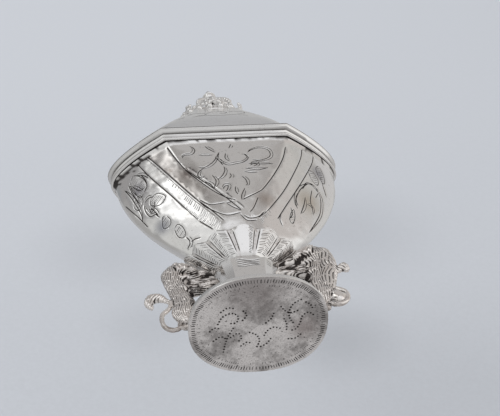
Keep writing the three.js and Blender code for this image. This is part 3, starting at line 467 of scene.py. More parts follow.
def smoothed(path, spacing):
    """A rounded path through the given points, with points about this far apart."""
    path = np.array(path, float)
    if len(path) == 2:
        return lerp(path[0], path[1], np.array(STROKE_SHARES))
    ends = np.vstack([2 * path[0] - path[1], path, 2 * path[-1] - path[-2]])
    result = []
    for a, b, c, d in zip(ends, ends[1:], ends[2:], ends[3:]):
        steps = max(1, round(np.linalg.norm(c - b) / spacing))
        for t in np.arange(steps) / steps:
            result.append(0.5 * (2 * b + (c - a) * t + (2 * a - 5 * b + 4 * c - d) * t ** 2
                                 + (3 * b - a - 3 * c + d) * t ** 3))
    return np.array(result + [path[-1]])


def ways_along(line):
    """How far each point of a line on a chart lies from the line's start."""
    return np.concatenate([[0], np.cumsum(np.hypot(*np.diff(line, axis=0).T))])


def point_at(line, ways, way):
    """The place on a line that is this far from its start."""
    return np.stack([np.interp(way, ways, line[:, k]) for k in (0, 1)], -1)


def left_of(line):
    """The way to the left of a line, at each of its points."""
    ahead = np.gradient(line, axis=0)
    ahead /= np.linalg.norm(ahead, axis=1)[:, None] + 1e-9
    return np.stack([-ahead[:, 1], ahead[:, 0]], 1)


def tree_of(points):
    """A search tree that finds the nearest of the points."""
    tree = kdtree.KDTree(len(points))
    for i, point in enumerate(points):
        tree.insert(point, i)
    tree.balance()
    return tree


class Sheet:
    """A chart of a surface. to_chart turns drawn points into the chart's, and lay puts the chart in space."""

    def __init__(self, lay, to_chart=None):
        self.lay = lay
        self.to_chart = to_chart or (lambda points: points)
        self.points = []
        self.edges = []
        self.beds = []

    def wire(self, chart_points, closed=False):
        """Points and edges that the mesh must keep, such as a border or a crease."""
        first = len(self.points)
        count = len(chart_points)
        self.points.extend(tuple(p) for p in chart_points)
        last = count if closed else count - 1
        self.edges.extend((first + i, first + (i + 1) % count) for i in range(last))

    def groove(self, path, width, depth, spacing=0.4):
        """A tapering groove along a drawn path. Below 0, depth makes a ridge."""
        centre = smoothed(path, spacing)
        lengths = np.hypot(*np.diff(centre, axis=0).T)
        along = np.concatenate([[0], np.cumsum(lengths)])
        along = along / along[-1]
        share = np.clip(np.minimum(along, 1 - along) / min(LONGEST_TAPER, TAPER / lengths.sum()), 0, 1)
        half = 0.5 * width * lerp(THIN_END, 1, share)
        middle = centre[1:-1]
        left = left_of(centre)[1:-1]
        reach = half[1:-1, None]
        first, inside = len(self.points), len(middle)
        rows = [centre, middle + left * reach, middle - left * reach]
        if width > BURR_LIMIT:
            rows += [middle - left * (reach + BURR_WIDTH), middle + left * (reach + BURR_WIDTH)]
        for row in rows:
            self.points.extend(tuple(p) for p in self.to_chart(row))
        last = first + inside + 1
        for start in (first + 1, last + 1, last + 1 + inside):
            chain = [first, *range(start, start + inside), last]
            self.edges.extend(zip(chain, chain[1:]))
        at = np.linspace(0, 1, max(3, int(lengths.sum() / BED_SAMPLE)))
        spots = self.to_chart(point_at(centre, along, at))
        depths = depth * np.interp(at, along, share)
        self.beds.extend(zip(map(tuple, spots), np.interp(at, along, half), depths))

    def dot(self, centre, radius):
        """A round punched mark."""
        angles = np.arange(DOT_CORNERS) * math.pi / (DOT_CORNERS / 2)
        ring = np.array(centre) + radius * np.stack([np.cos(angles), np.sin(angles)], 1)
        self.wire(self.to_chart(ring), closed=True)
        middle = tuple(self.to_chart(np.array([centre]))[0])
        self.points.append(middle)
        self.beds.append((middle, radius, DOT_DEPTH))

    def fill(self, chart_points):
        """Plain points between the grooves."""
        taken = tree_of([(*point, 0) for point in self.points])
        self.points.extend([tuple(p) for p in chart_points if taken.find((*p, 0))[2] > CLEAR_OF_GROOVE])

    def cut(self):
        """Returns the positions, the triangles and how deep each point lies, from 0 to 1."""
        found = delaunay_2d_cdt([Vector(p) for p in self.points], self.edges, [], 0, 1e-5)
        self.chart = np.array([tuple(p) for p in found[0]])
        positions, normals = self.lay(self.chart)
        depth = np.zeros(len(self.chart))
        deepest = 1e-9
        if self.beds:
            tree = tree_of(self.lay(np.array([bed[0] for bed in self.beds]))[0])
            deepest = max(bed[2] for bed in self.beds)
            for i, position in enumerate(positions):
                _, nearest, distance = tree.find(position)
                _, radius, bed_depth = self.beds[nearest]
                if distance < radius:
                    depth[i] = bed_depth * (1 - distance / radius)
                elif BURR_FROM * BURR_WIDTH < distance - radius < BURR_TO * BURR_WIDTH:
                    depth[i] = -BURR_HEIGHT * bed_depth
        positions = positions - normals * depth[:, None]
        return positions, np.array(found[2]), np.clip(depth / (BLACK_DEPTH * deepest), 0, 1)


print("engraving tools ready")

# %% From charts to pieces
POINT_MERGE = 0.004
NEAR = 0.003


def both_halves(half):
    """The front half of something and its copy, turned half round, for the back."""
    return np.vstack([half, half * np.array([-1, -1, 1])])


def select_only(*pieces):
    deselect()
    for piece in pieces:
        piece.select_set(True)
    bpy.context.view_layer.objects.active = pieces[0]


def select_near(piece, ring):
    """Selects the points of a ring, in edit mode."""
    bpy.ops.mesh.select_all(action="DESELECT")
    bpy.ops.object.mode_set(mode="OBJECT")
    tree = tree_of([Vector(point) * MM for point in ring])
    for vertex in piece.data.vertices:
        vertex.select = tree.find(vertex.co)[2] < NEAR * MM
    bpy.ops.object.mode_set(mode="EDIT")


def clean_mesh(piece, merge, flat_angle, open_ends=()):
    """Merges the points that meet, closes open ends with a face each, and turns every face outward."""
    bpy.ops.object.mode_set(mode="EDIT")
    bpy.ops.mesh.select_all(action="SELECT")
    bpy.ops.mesh.remove_doubles(threshold=merge * MM)
    for ring in open_ends:
        select_near(piece, ring)
        bpy.ops.mesh.edge_face_add()
    bpy.ops.mesh.select_all(action="SELECT")
    bpy.ops.mesh.normals_make_consistent(inside=False)
    bpy.ops.object.mode_set(mode="OBJECT")
    bpy.ops.object.shade_smooth_by_angle(angle=math.radians(flat_angle))


def write_attribute(piece, name, values):
    data = piece.data.attributes.new(name, "FLOAT", "POINT").data
    data.foreach_set("value", values.astype(np.float32))


def piece_from(name, positions, faces, cut, tone=None, flat_angle=28):
    """Makes a piece from points in millimetres."""
    mesh = bpy.data.meshes.new(name)
    mesh.from_pydata((positions * MM).tolist(), [], faces.tolist())
    piece = bpy.data.objects.new(name, mesh)
    bpy.context.collection.objects.link(piece)
    write_attribute(piece, "cut", cut)
    if tone is not None:
        write_attribute(piece, "tone", np.concatenate([tone, np.zeros(len(positions) - len(tone))]))
    select_only(piece)
    clean_mesh(piece, POINT_MERGE, flat_angle)
    return piece


def settle(piece, body, material, slot, *nodes):
    """Gives a piece its finish and its body, and lets it stand for CAD nodes."""
    piece.data.materials.clear()
    piece.data.materials.append(material)
    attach(piece, body)
    if nodes:
        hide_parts(*nodes)
    print(piece.name, len(piece.data.polygons), "faces")
    return piece


def rows_of_faces(rows, count, start):
    """Faces between closed rows of points that follow each other."""
    faces = []
    for row in range(rows - 1):
        low = start + row * count
        for i in range(count):
            j = (i + 1) % count
            faces.append((low + i, low + j, low + count + j))
            faces.append((low + i, low + count + j, low + count + i))
    return faces


def close_with_wall(outer, rings):
    """Joins an outside with rings, such as those over its rim and down inside, and closes the last ring."""
    positions, faces, cut = outer
    count = len(rings[0])
    start = len(positions)
    middle = rings[-1].mean(0)
    positions = np.vstack([positions, *rings, middle])
    extra = rows_of_faces(len(rings), count, start)
    last = start + (len(rings) - 1) * count
    centre = len(positions) - 1
    extra += [(last + i, last + (i + 1) % count, centre) for i in range(count)]
    cut = np.concatenate([cut, np.zeros(len(positions) - len(cut))])
    return positions, np.vstack([faces, extra]), cut


print("piece helpers ready")

# %% [markdown]
# ## The walls of the heart
# Seen from above, the box is a flattened lozenge: a straight front and back, and a rounded point at each
# end. The body swells from the cup to the rim along a sine, and the lid closes over it along a cosine.
# These are the CAD model's own curves, so that the engraved sheets lie where its shells are.

# %% The curve of a wall
END_HANDLES = (0.43, 0.73, 0.30)
END_STEPS = 32
SOFTENING = ((-1, 1 / 9), (-0.5, 2 / 9), (0, 3 / 9), (0.5, 2 / 9), (1, 1 / 9))
SOFT_FADE = 0.15
STEP_ALONG = 1e-3
STEP_UP = 0.02


def bezier_weights(t):
    return np.stack([(1 - t) ** 3, 3 * t * (1 - t) ** 2, 3 * t * t * (1 - t), t ** 3])


def way_out(surface, u, z, step_up, top):
    """The way out of a surface. It is measured towards the middle of the front, so that a crease doesn't
    blur it, and upward except above the level called top."""
    side = np.where(u > 0, -1.0, 1.0)
    up = np.where(z > top, -1.0, 1.0)
    here = surface(u, z)
    along = (surface(u + side * STEP_ALONG, z) - here) * side[:, None]
    climb = (surface(u, z + up * step_up) - here) * up[:, None]
    out = np.cross(along, climb)
    return out / np.linalg.norm(out, axis=1)[:, None]


class Wall:
    """A wall between two levels. sizes(share) gives half width, half depth, half front and crown.

    soft is how far in millimetres the crease beside the front is rounded, away from the upper edge."""

    def __init__(self, low, high, sizes, soft=0.0):
        self.low = low
        self.high = high
        self.sizes = sizes
        self.soft = soft

    def share(self, z):
        return np.clip((np.asarray(z, float) - self.low) / (self.high - self.low), 0, 1)

    def point(self, u, z, offset=0.0):
        """Points at a share u of the way from the middle: 1 is the right end and -1 is the left."""
        share = self.share(z)
        total = self.length(z)
        reach = np.minimum(self.soft, 0.5 * self.sizes(share)[2]) * np.clip((1 - share) / SOFT_FADE, 0, 1)
        reach = np.minimum(reach, (1 - np.abs(u)) * total) / total
        x, y = sum(np.stack(self._plan(u + step * reach, z)[:2]) * weight for step, weight in SOFTENING)
        position = np.stack([x, -y, z], 1)
        if np.any(offset):
            position = position + self.normal(u, z) * np.reshape(offset, (-1, 1))
        return position

    def normal(self, u, z):
        return way_out(self.point, u, z, STEP_UP, self.high - STEP_UP)

    def length(self, z):
        """Half the way round at each level, from the front's middle to an end."""
        return self._plan(np.ones(len(z)), z)[2]

    def front(self, z):
        return self.sizes(self.share(z))[2]

    def _plan(self, u, z):
        width, depth, front, crown = self.sizes(self.share(z))
        corner = depth - crown
        first, deep_first, deep_last = END_HANDLES
        handles_x = np.stack([front, front + first * (width - front), width, width], 1)
        handles_y = np.stack([corner, deep_first * corner, deep_last * corner, 0 * corner], 1)
        grid = bezier_weights(np.linspace(0, 1, END_STEPS + 1))
        steps = np.hypot(np.diff(handles_x @ grid), np.diff(handles_y @ grid))
        sums = np.cumsum(steps, axis=1)
        total = front + sums[:, -1]
        way = np.minimum(np.abs(u), 1) * total
        past = np.clip(way - front, 0, sums[:, -1] - 1e-9)
        index = np.minimum((sums <= past[:, None]).sum(1), END_STEPS - 1)
        row = np.arange(len(index))
        before = np.where(index > 0, sums[row, index - 1], 0)
        local = bezier_weights((index + (past - before) / steps[row, index]) / END_STEPS).T
        straight = way < front
        ratio = way / front
        x = np.where(straight, way, (handles_x * local).sum(1))
        y = np.where(straight, depth - crown * ratio ** 2, (handles_y * local).sum(1))
        return np.sign(u) * x, y, total


Z_STEM_TOP = 15.2
Z_CALYX_TOP = 22.0
Z_BODY_BOTTOM = 16.0
Z_MOUTH = 45.6
Z_DOME = 50.7
Z_DOME_TOP = 66.4
FLARE = 0.38
FLARE_LOW = Z_MOUTH - 0.7
FRONT_CROWN = 0.4
BODY_SWELL, LID_SWELL = 0.8, 0.85
BODY_WIDTH, BODY_DEPTH, BODY_FRONT = (3.6, 21.3), (2.6, 9.4), (1.6, 11.3)
LID_WIDTH, LID_DEPTH, LID_FRONT = (6.9, 20.95), (4.1, 9.05), (4.2, 10.95)


def body_sizes(share):
    swell = np.sin(math.pi / 2 * share ** BODY_SWELL)
    level = lerp(Z_BODY_BOTTOM, Z_MOUTH, share)
    flare = FLARE * np.clip((level - FLARE_LOW) / (Z_MOUTH - FLARE_LOW), 0, 1)
    crown = FRONT_CROWN * np.sin(math.pi * share)
    return lerp(*BODY_WIDTH, swell) + flare, lerp(*BODY_DEPTH, swell) + flare, lerp(*BODY_FRONT, share), crown


def lid_sizes(share):
    fade = np.cos(math.pi / 2 * share ** LID_SWELL)
    crown = FRONT_CROWN * np.sin(math.pi * share)
    return lerp(*LID_WIDTH, fade), lerp(*LID_DEPTH, fade), lerp(*LID_FRONT, fade), crown


body_wall = Wall(Z_BODY_BOTTOM, Z_MOUTH, body_sizes, soft=4.0)
lid_wall = Wall(Z_DOME, Z_DOME_TOP, lid_sizes, soft=1.5)
print("half way round the mouth:", round(float(body_wall.length([Z_MOUTH])[0]), 2), "mm")

# %% A wall's sheet
REACH = 24.0
GRID = 0.62
EDGE_GAP = 0.15


def grid_sheet(lay, across, levels, to_chart=None):
    """A sheet with a border, and with a grid of points that can fill it later."""
    sheet = Sheet(lay, to_chart)
    border = [(x, levels[0]) for x in across] + [(across[-1], z) for z in levels[1:]]
    border += [(x, levels[-1]) for x in across[::-1][1:]] + [(across[0], z) for z in levels[::-1][1:-1]]
    sheet.wire(border, closed=True)
    sheet.grid = [(x, z) for z in levels[1:-1] for x in across[1:-1]]
    sheet.across = across
    return sheet


def wall_sheet(wall, fold=None):
    """The front half of a wall as a sheet, drawn in millimetres along and up it. fold is one more level."""
    def lay(chart):
        u = np.clip(chart[:, 0] / REACH, -1, 1)
        return wall.point(u, chart[:, 1]), wall.normal(u, chart[:, 1])

    def to_chart(points):
        z = np.clip(points[:, 1], wall.low + EDGE_GAP, (fold or wall.high) - EDGE_GAP)
        u = np.clip(points[:, 0] / wall.length(z), -0.99, 0.99)
        return np.stack([u * REACH, z], 1)

    levels = np.linspace(wall.low, fold or wall.high, round((wall.high - wall.low) / GRID) + 1)
    if fold:
        levels = np.append(levels, wall.high)
    across = np.linspace(-REACH, REACH, round(2 * REACH / GRID) + 1)
    sheet = grid_sheet(lay, across, levels, to_chart)
    crease = wall.front(levels) / wall.length(levels) * REACH
    for side in (-1, 1):
        sheet.wire(np.stack([side * crease, levels], 1))
    if fold:
        sheet.wire([(x, fold) for x in across])
    return sheet


def both_faces(sheet):
    """Cuts the front sheet and turns a second one half round for the back."""
    positions, faces, cut = sheet.cut()
    return both_halves(positions), np.vstack([faces, faces + len(positions)]), np.tile(cut, 2)


def wall_ring(wall, across, z, offset):
    """A closed ring of points at a level, this far off the wall."""
    u = across[:-1] / REACH
    half = wall.point(u, np.full(len(u), z), np.full(len(u), offset))
    half[:, 2] = z
    return both_halves(half)


print("sheet grid", GRID, "mm")

# %% [markdown]
# ## The engraved body
# A leaf-shaped panel with a spray of flowers fills the front. A ribbon with hatched edges runs down each
# side of it to the cup, and tulips climb the rounded ends. The lines are drawn here as short
# paths in millimetres: along the wall from the middle of the front, and up from the foot.

# %% Strokes that repeat
HATCH_SEED = 11
HATCH_START = 0.12
HATCH_SPREAD = (0.75, 1.1)
THIN_LINE = (0.15, 0.05)
SECOND_LINE = (0.19, 0.07)
LEAF_LINE = (0.22, 0.07)
LEAF_PITCH, LEAF_SLOPE, LEAF_INSET, LEAF_LEAST = 0.38, 35, 0.12, 0.5
hatch_chance = np.random.default_rng(HATCH_SEED)


def hatch(sheet, path, pitch, lengths, turn, line=THIN_LINE):
    """Short strokes beside a path, from its first length to its last. turn is their angle to the path."""
    centre = smoothed(path, 0.25)
    ways = ways_along(centre)
    angle = math.radians(turn)
    spin = np.array([[math.cos(angle), -math.sin(angle)], [math.sin(angle), math.cos(angle)]])
    for way in np.arange(pitch / 2, ways[-1], pitch):
        at, ahead, back = (point_at(centre, ways, way + step) for step in (0, 0.1, -0.1))
        heading = spin @ ((ahead - back) / (np.linalg.norm(ahead - back) + 1e-9))
        length = lerp(*lengths, way / ways[-1]) * hatch_chance.uniform(*HATCH_SPREAD)
        sheet.groove([at + heading * HATCH_START, at + heading * (HATCH_START + length)], *line)


def beside(sheet, path, distance):
    """A thinner and shorter line beside a path, as where a leaf is drawn with two strokes."""
    line = smoothed(path, 0.4)
    swell = np.sin(np.pi * np.linspace(0, 1, len(line)))[:, None]
    moved = line + distance * swell * left_of(line)
    if len(moved) > 5:
        sheet.groove(moved[1:-1], *SECOND_LINE)


def hatched_leaf(sheet, outline):
    """A closed shape, filled with slanting lines."""
    ring = smoothed(np.array([*outline, outline[0]], float), 0.35)
    sheet.groove(ring, *LEAF_LINE, spacing=9)
    angle = math.radians(LEAF_SLOPE)
    axis = np.array([math.cos(angle), math.sin(angle)])
    side = np.array([-axis[1], axis[0]])
    heights = ring @ side
    for level in np.arange(heights.min() + LEAF_PITCH * 0.7, heights.max() - 0.2, LEAF_PITCH):
        crossings = []
        for a, b in zip(ring, ring[1:]):
            low, high = a @ side - level, b @ side - level
            if low * high < 0:
                crossings.append((a + (b - a) * low / (low - high)) @ axis)
        if len(crossings) >= 2 and max(crossings) - min(crossings) > LEAF_LEAST:
            ends = [min(crossings) + LEAF_INSET, max(crossings) - LEAF_INSET]
            sheet.groove([axis * end + side * level for end in ends], *THIN_LINE)


print("repeating strokes ready")

# %% The drawing on the body
PANEL = [
    [(-11.7, 44.9), (-10.6, 41.8), (-8.9, 37.75), (-7.0, 34.7), (-4.4, 31.2), (-2.2, 29.2), (-0.3, 28.3)],
    [(-9.0, 37.9), (-4.3, 31.85), (0.4, 25.85)],
    [(11.3, 43.6), (10.3, 40.2), (8.1, 35.8), (5.45, 31.7), (4.0, 30.3), (0.7, 28.3)],
]
FLOWERS = [
    [(-9.2, 40.7), (-8.7, 41.6), (-7.2, 41.6), (-6.5, 42.4), (-6.6, 43.5), (-7.4, 44.3)],
    [(-6.2, 41.4), (-4.6, 41.0), (-3.0, 41.1)],
    [(-2.7, 40.7), (-2.9, 39.7), (-3.9, 38.4), (-5.3, 37.5), (-6.5, 37.8)],
    [(-5.3, 37.3), (-6.4, 36.5), (-6.7, 35.4), (-6.0, 34.7), (-5.3, 35.5)],
    [(-5.7, 33.8), (-4.6, 32.8), (-4.0, 31.3)],
    [(-4.1, 35.3), (-3.5, 33.5), (-4.2, 31.3)],
    [(-1.6, 37.6), (-1.5, 36.3), (-2.2, 34.8), (-3.3, 33.7)],
    [(-1.8, 42.0), (-2.5, 40.3), (-2.0, 38.8), (-0.7, 37.8), (1.0, 38.1), (2.5, 38.6), (3.4, 39.8),
     (2.8, 41.0), (2.1, 40.7)],
    [(-0.7, 41.6), (-1.0, 40.0), (-0.6, 39.2), (-0.1, 38.8)],
    [(3.3, 41.3), (4.4, 42.3), (6.0, 42.8), (7.4, 42.2), (7.8, 40.8), (7.1, 39.7), (5.4, 39.0), (3.8, 39.2)],
    [(3.0, 38.0), (5.9, 37.9), (8.2, 38.2)],
    [(2.2, 36.7), (4.8, 36.2), (7.0, 37.0)],
    [(1.9, 35.8), (3.5, 35.4), (4.8, 35.6)],
    [(-0.8, 35.6), (-0.5, 34.7), (-1.1, 33.8)],
    [(1.3, 34.6), (2.0, 33.7), (2.2, 32.2), (1.6, 31.9)],
    [(-2.6, 31.1), (-2.0, 32.0), (-1.4, 32.1), (-1.7, 31.0), (-2.2, 30.6)],
    [(0, 32.0), (-0.2, 30.6), (0.3, 29.5)],
    [(1.7, 31.4), (0.8, 29.5), (0.7, 28.1)],
    [(0.7, 44.6), (0.3, 43.5), (0, 42.9)],
    [(-4.5, 44.2), (-3.7, 42.9), (-2.5, 41.7)],
    [(-2.9, 40.2), (-2.2, 39.1), (-1.6, 37.6)],
    [(3.3, 37.3), (4.3, 38.1), (4.8, 37.7), (3.9, 37.1)],
]
SCROLLS_BELOW = [
    [(-7.2, 29.8), (-5.2, 28.0), (-2.4, 27.9), (-0.7, 28.0)],
    [(-7.3, 29.6), (-6.0, 27.6), (-2.7, 25.1), (0.3, 25.4)],
    [(0.5, 24.9), (1.6, 24.1), (3.3, 24.5), (4.7, 25.9)],
    [(-2.4, 27.9), (-1.1, 26.7), (0.4, 25.8)],
    [(1.7, 25.3), (2.7, 26.6), (3.9, 29.2)],
    [(-0.1, 25.1), (1.1, 23.6), (3.1, 23.7)],
]
LEFT_INNER = [(-16.2, 45.5), (-15.4, 44.0), (-12.1, 37.7), (-8.2, 30.9), (-5.3, 26.9), (-3.05, 23.8)]
LEFT_OUTER = [(-18.6, 45.5), (-15.95, 39.5), (-12.3, 33.0), (-8.4, 26.4), (-5.3, 22.7)]
RIGHT_INNER = [(15.4, 45.3), (14.1, 41.0), (9.8, 32.5), (5.6, 26.5), (3.2, 24.2)]
RIGHT_OUTER = [(18.2, 45.3), (17.99, 44.3), (16.8, 41.2), (13.0, 34.25), (9.3, 28.3), (7.1, 24.8)]
LEFT_END = [
    [(-20.6, 40.9), (-18.9, 38.4), (-17.5, 38.1)],
    [(-19.7, 42.7), (-17.6, 41.3), (-16.4, 39.7)],
    [(-22.3, 41.2), (-21.0, 38.3), (-20.0, 35.4), (-19.3, 33.1), (-19.2, 31.3)],
    [(-21.2, 41.7), (-20.3, 38.2), (-19.1, 35.2)],
    [(-18.3, 34.7), (-17.2, 35.3), (-15.9, 34.9)],
    [(-18.3, 34.7), (-18.2, 32.9), (-17.4, 31.4), (-16.2, 31.1), (-15.5, 30.0)],
    [(-17.5, 33.3), (-16.9, 32.0), (-16.1, 32.8), (-16.0, 34.1)],
    [(-17.0, 33.2), (-16.1, 31.4), (-15.3, 29.8)],
    [(-10.9, 23.9), (-10.3, 22.9), (-10.3, 22.3), (-11.0, 21.9), (-11.1, 21.4)],
    [(-10.2, 22.5), (-9.1, 22.6), (-7.8, 22.3)],
    [(-18.0, 37.1), (-17.1, 38.1), (-17.2, 39.9), (-18.1, 41.9)],
    [(-22.8, 37.7), (-19.7, 32.3), (-18.3, 29.7)],
]
LEFT_LEAVES = [
    [(-16.6, 34.9), (-15.2, 35.2), (-13.6, 33.7), (-14.4, 32.6), (-15.6, 32.6), (-16.9, 33.6)],
    [(-14.0, 29.6), (-13.3, 28.3), (-13.7, 27.4), (-15.0, 27.5), (-15.1, 28.6), (-14.8, 29.7)],
    [(-12.9, 26.4), (-12.1, 26.8), (-11.2, 25.9), (-10.8, 24.5), (-11.3, 23.9), (-12.4, 24.6)],
    [(-20.7, 42.0), (-19.4, 42.6), (-17.7, 40.6), (-17.0, 38.2), (-18.0, 37.1), (-18.8, 36.5), (-20.4, 39.4)],
    [(-19.6, 37.4), (-18.7, 36.9), (-18.5, 35.4), (-19.6, 34.2), (-20.6, 35.7)],
]
RIGHT_END = [
    [(13.6, 33.8), (15.0, 35.8), (16.5, 36.1), (18.1, 34.5), (17.9, 31.5), (17.0, 29.2), (14.5, 25.2)],
    [(14.1, 30.9), (15.5, 30.7), (15.8, 29.0)],
    [(11.9, 28.6), (11.8, 30.7), (13.2, 33.6), (15.5, 36.3)],
    [(14.2, 32.5), (13.6, 30.4), (12.5, 27.8)],
    [(16.1, 35.0), (15.3, 31.9), (15.9, 30.4)],
    [(17.7, 35.1), (16.7, 33.3)],
    [(15.5, 36.3), (17.1, 36.3), (17.7, 35.1)],
    [(9.7, 25.7), (10.6, 27.1), (10.4, 28.7)],
    [(19.0, 40.0), (19.5, 37.7), (20.0, 35.3)],
    [(12.7, 32.8), (11.9, 31.1), (12.2, 29.3)],
    [(8.1, 26.6), (7.7, 24.9), (8.3, 23.6)],
]
RIGHT_LEAVES = [
    [(11.2, 28.6), (10.3, 27.2), (9.9, 25.7), (10.5, 25.2), (11.1, 26.6)],
    [(19.2, 43.0), (18.2, 41.6), (18.6, 39.6), (19.8, 38.6), (20.3, 40.6)],
    [(15.9, 39.6), (16.4, 37.7), (17.7, 36.9), (18.2, 38.4), (17.1, 40.0)],
]
PANEL_LINE, FLOWER_LINE, RIBBON_LINE = (0.30, 0.10), (0.26, 0.085), (0.26, 0.09)
RIDGE, RIDGE_SHIFT = (0.36, -0.08), (0.42, 0.30)
BESIDE = 0.55
RIBBON_GAP = 0.5


def engrave_body(sheet):
    for path in PANEL:
        sheet.groove(path, *PANEL_LINE)
    sheet.groove(np.array(PANEL[1]) + RIDGE_SHIFT, *RIDGE)
    for path in FLOWERS + SCROLLS_BELOW + LEFT_END + RIGHT_END:
        sheet.groove(path, *FLOWER_LINE)
    for path in FLOWERS + LEFT_END[:9] + RIGHT_END[:4]:
        beside(sheet, path, BESIDE)
    for path in (LEFT_INNER, LEFT_OUTER, RIGHT_INNER, RIGHT_OUTER):
        sheet.groove(path, *RIBBON_LINE)
    for outline in LEFT_LEAVES + RIGHT_LEAVES:
        hatched_leaf(sheet, outline)
    ribbon_edge = np.array(LEFT_INNER) - (RIBBON_GAP, 0)
    sheet.groove(ribbon_edge, *THIN_LINE)
    hatch(sheet, ribbon_edge[2:], 0.44, (0.5, 2.0), -72, (0.15, 0.04))
    hatch(sheet, [(-10.4, 29.3), (-8.2, 25.9), (-5.6, 23.2)], 0.36, (0.6, 1.0), 70)
    hatch(sheet, RIGHT_INNER[3:], 0.38, (0.8, 1.3), 78)


def level_of(path, z):
    """Where a falling path crosses each level."""
    line = smoothed(path, 0.3)[::-1]
    return np.interp(z, line[:, 1], line[:, 0])


def strip_tone(s, z):
    """1 in the strip between the panel and the left ribbon, which is painted darker and browner."""
    inside = (s > level_of(LEFT_INNER, z) + 0.05) * np.clip((level_of(PANEL[0], z) + 0.4 - s) / 1.6, 0, 1)
    return 0.85 * inside * np.clip((Z_MOUTH - z) / 1.5, 0, 1) * np.clip((z - 28) / 4, 0, 1)


def rim_painted_shadow(s, z):
    """1 in the ragged band of painted shadow under the rim, widest at the left end."""
    ragged = np.array([noise.noise(Vector((a * 0.8, b * 1.6, 2.0))) for a, b in zip(s, z)])
    reach = np.interp(s, [-22, -17, -11, 8, 14, 22], [1.7, 1.3, 0.35, 0.2, 0.6, 0.8])
    return np.clip((z - Z_MOUTH + reach * (1 + 1.4 * ragged)) / 0.35, 0, 1)


body_sheet = wall_sheet(body_wall, FLARE_LOW)
engrave_body(body_sheet)
body_sheet.fill(body_sheet.grid)
body_positions, body_faces, body_cut = both_faces(body_sheet)
up_wall = body_sheet.chart[:, 1]
along_wall = body_sheet.chart[:, 0] / REACH * body_wall.length(up_wall)
body_tone = strip_tone(along_wall, up_wall)
# The painted shadow under the rim darkens the body through the cut attribute.
body_cut = np.maximum(body_cut, 0.5 * np.tile(rim_painted_shadow(along_wall, up_wall), 2))
print("body's sheet:", len(body_positions), "points,", len(body_sheet.beds), "samples of grooves")

# %% The body
BODY_WALL = 0.8
FLOOR = 0.9
INSIDE_LEVELS = 12


def body_inside(across):
    shares = np.linspace(1, 0, INSIDE_LEVELS)[1:] ** 1.3
    levels = [Z_MOUTH, *(lerp(Z_BODY_BOTTOM + FLOOR, Z_MOUTH, share) for share in shares)]
    return [wall_ring(body_wall, across, z, -BODY_WALL) for z in levels]


across = body_sheet.across
body_end, body_mouth = (wall_ring(body_wall, across, z, 0) for z in (Z_BODY_BOTTOM, Z_MOUTH))
body_closed = close_with_wall((body_positions, body_faces, body_cut), [body_end])
body_closed = close_with_wall(body_closed, [body_mouth, *body_inside(across)])
body = piece_from("engraved_body", *body_closed, tone=body_tone)
settle(body, "root", body_silver, "silver", "body_shell")

# %% [markdown]
# ## The lid
# The lid is raised from one sheet, with the same straight front and pointed ends as the body. Wear has
# almost rubbed its flourish away, so the lines here are thin and shallow.

# %% Lid
LID_FLOURISH = [
    [(-6.4, 60.2), (-5.0, 61.6), (-3.2, 61.4), (-2.6, 60.0), (-3.6, 59.2), (-4.4, 59.9)],
    [(-2.6, 60.8), (-1.2, 62.2), (0.6, 62.4), (1.6, 61.2), (0.9, 60.2), (-0.1, 60.6)],
    [(1.8, 61.6), (3.2, 62.6), (4.9, 62.0), (5.2, 60.7), (4.2, 60.0), (3.5, 60.7)],
    [(-5.6, 58.2), (-3.0, 58.9), (0, 58.4), (3.1, 58.9), (5.8, 58.1)],
    [(5.4, 61.8), (6.6, 61.0), (7.4, 59.6)],
    [(-6.8, 59.2), (-7.6, 58.0), (-8.8, 57.4)],
]
LID_WALL = 0.8
LID_LEAN = 0.8
FLOURISH_LINE = (0.22, 0.045)


def lean(positions):
    """Moves the lid's points to the right, more and more towards its top."""
    share = np.clip((positions[:, 2] - Z_DOME) / (Z_DOME_TOP - Z_DOME), 0, 1)
    return positions + np.outer(share * LID_LEAN, (1, 0, 0))


lid_sheet = wall_sheet(lid_wall)
for path in LID_FLOURISH:
    lid_sheet.groove(path, *FLOURISH_LINE)
lid_sheet.fill(lid_sheet.grid)
across = lid_sheet.across
lid_inside = [wall_ring(lid_wall, across, lerp(Z_DOME, Z_DOME_TOP - LID_WALL, share), -LID_WALL)
              for share in np.sin(math.pi / 2 * np.linspace(0, 1, 9))]
lid_closed = close_with_wall(both_faces(lid_sheet), [wall_ring(lid_wall, across, Z_DOME_TOP, 0)])
lid_closed = close_with_wall(lid_closed, [wall_ring(lid_wall, across, Z_DOME, 0), *lid_inside])
lid = piece_from("raised_lid", lean(lid_closed[0]), *lid_closed[1:])
settle(lid, "lid", silver, "silver", "lid_shell")

# %% [markdown]
# ## Rims, plinth and other turned mouldings
# Body and lid meet in two moulded rims of drawn silver: a bead, a hollow and another bead. Such a piece
# is one profile carried round an outline. A circle is extruded once for each point of the profile, and
# each ring is then laid on its own outline.

# %% Rings laid on outlines
LOFT_MERGE = 0.002
LOFT_FLAT_ANGLE = 35


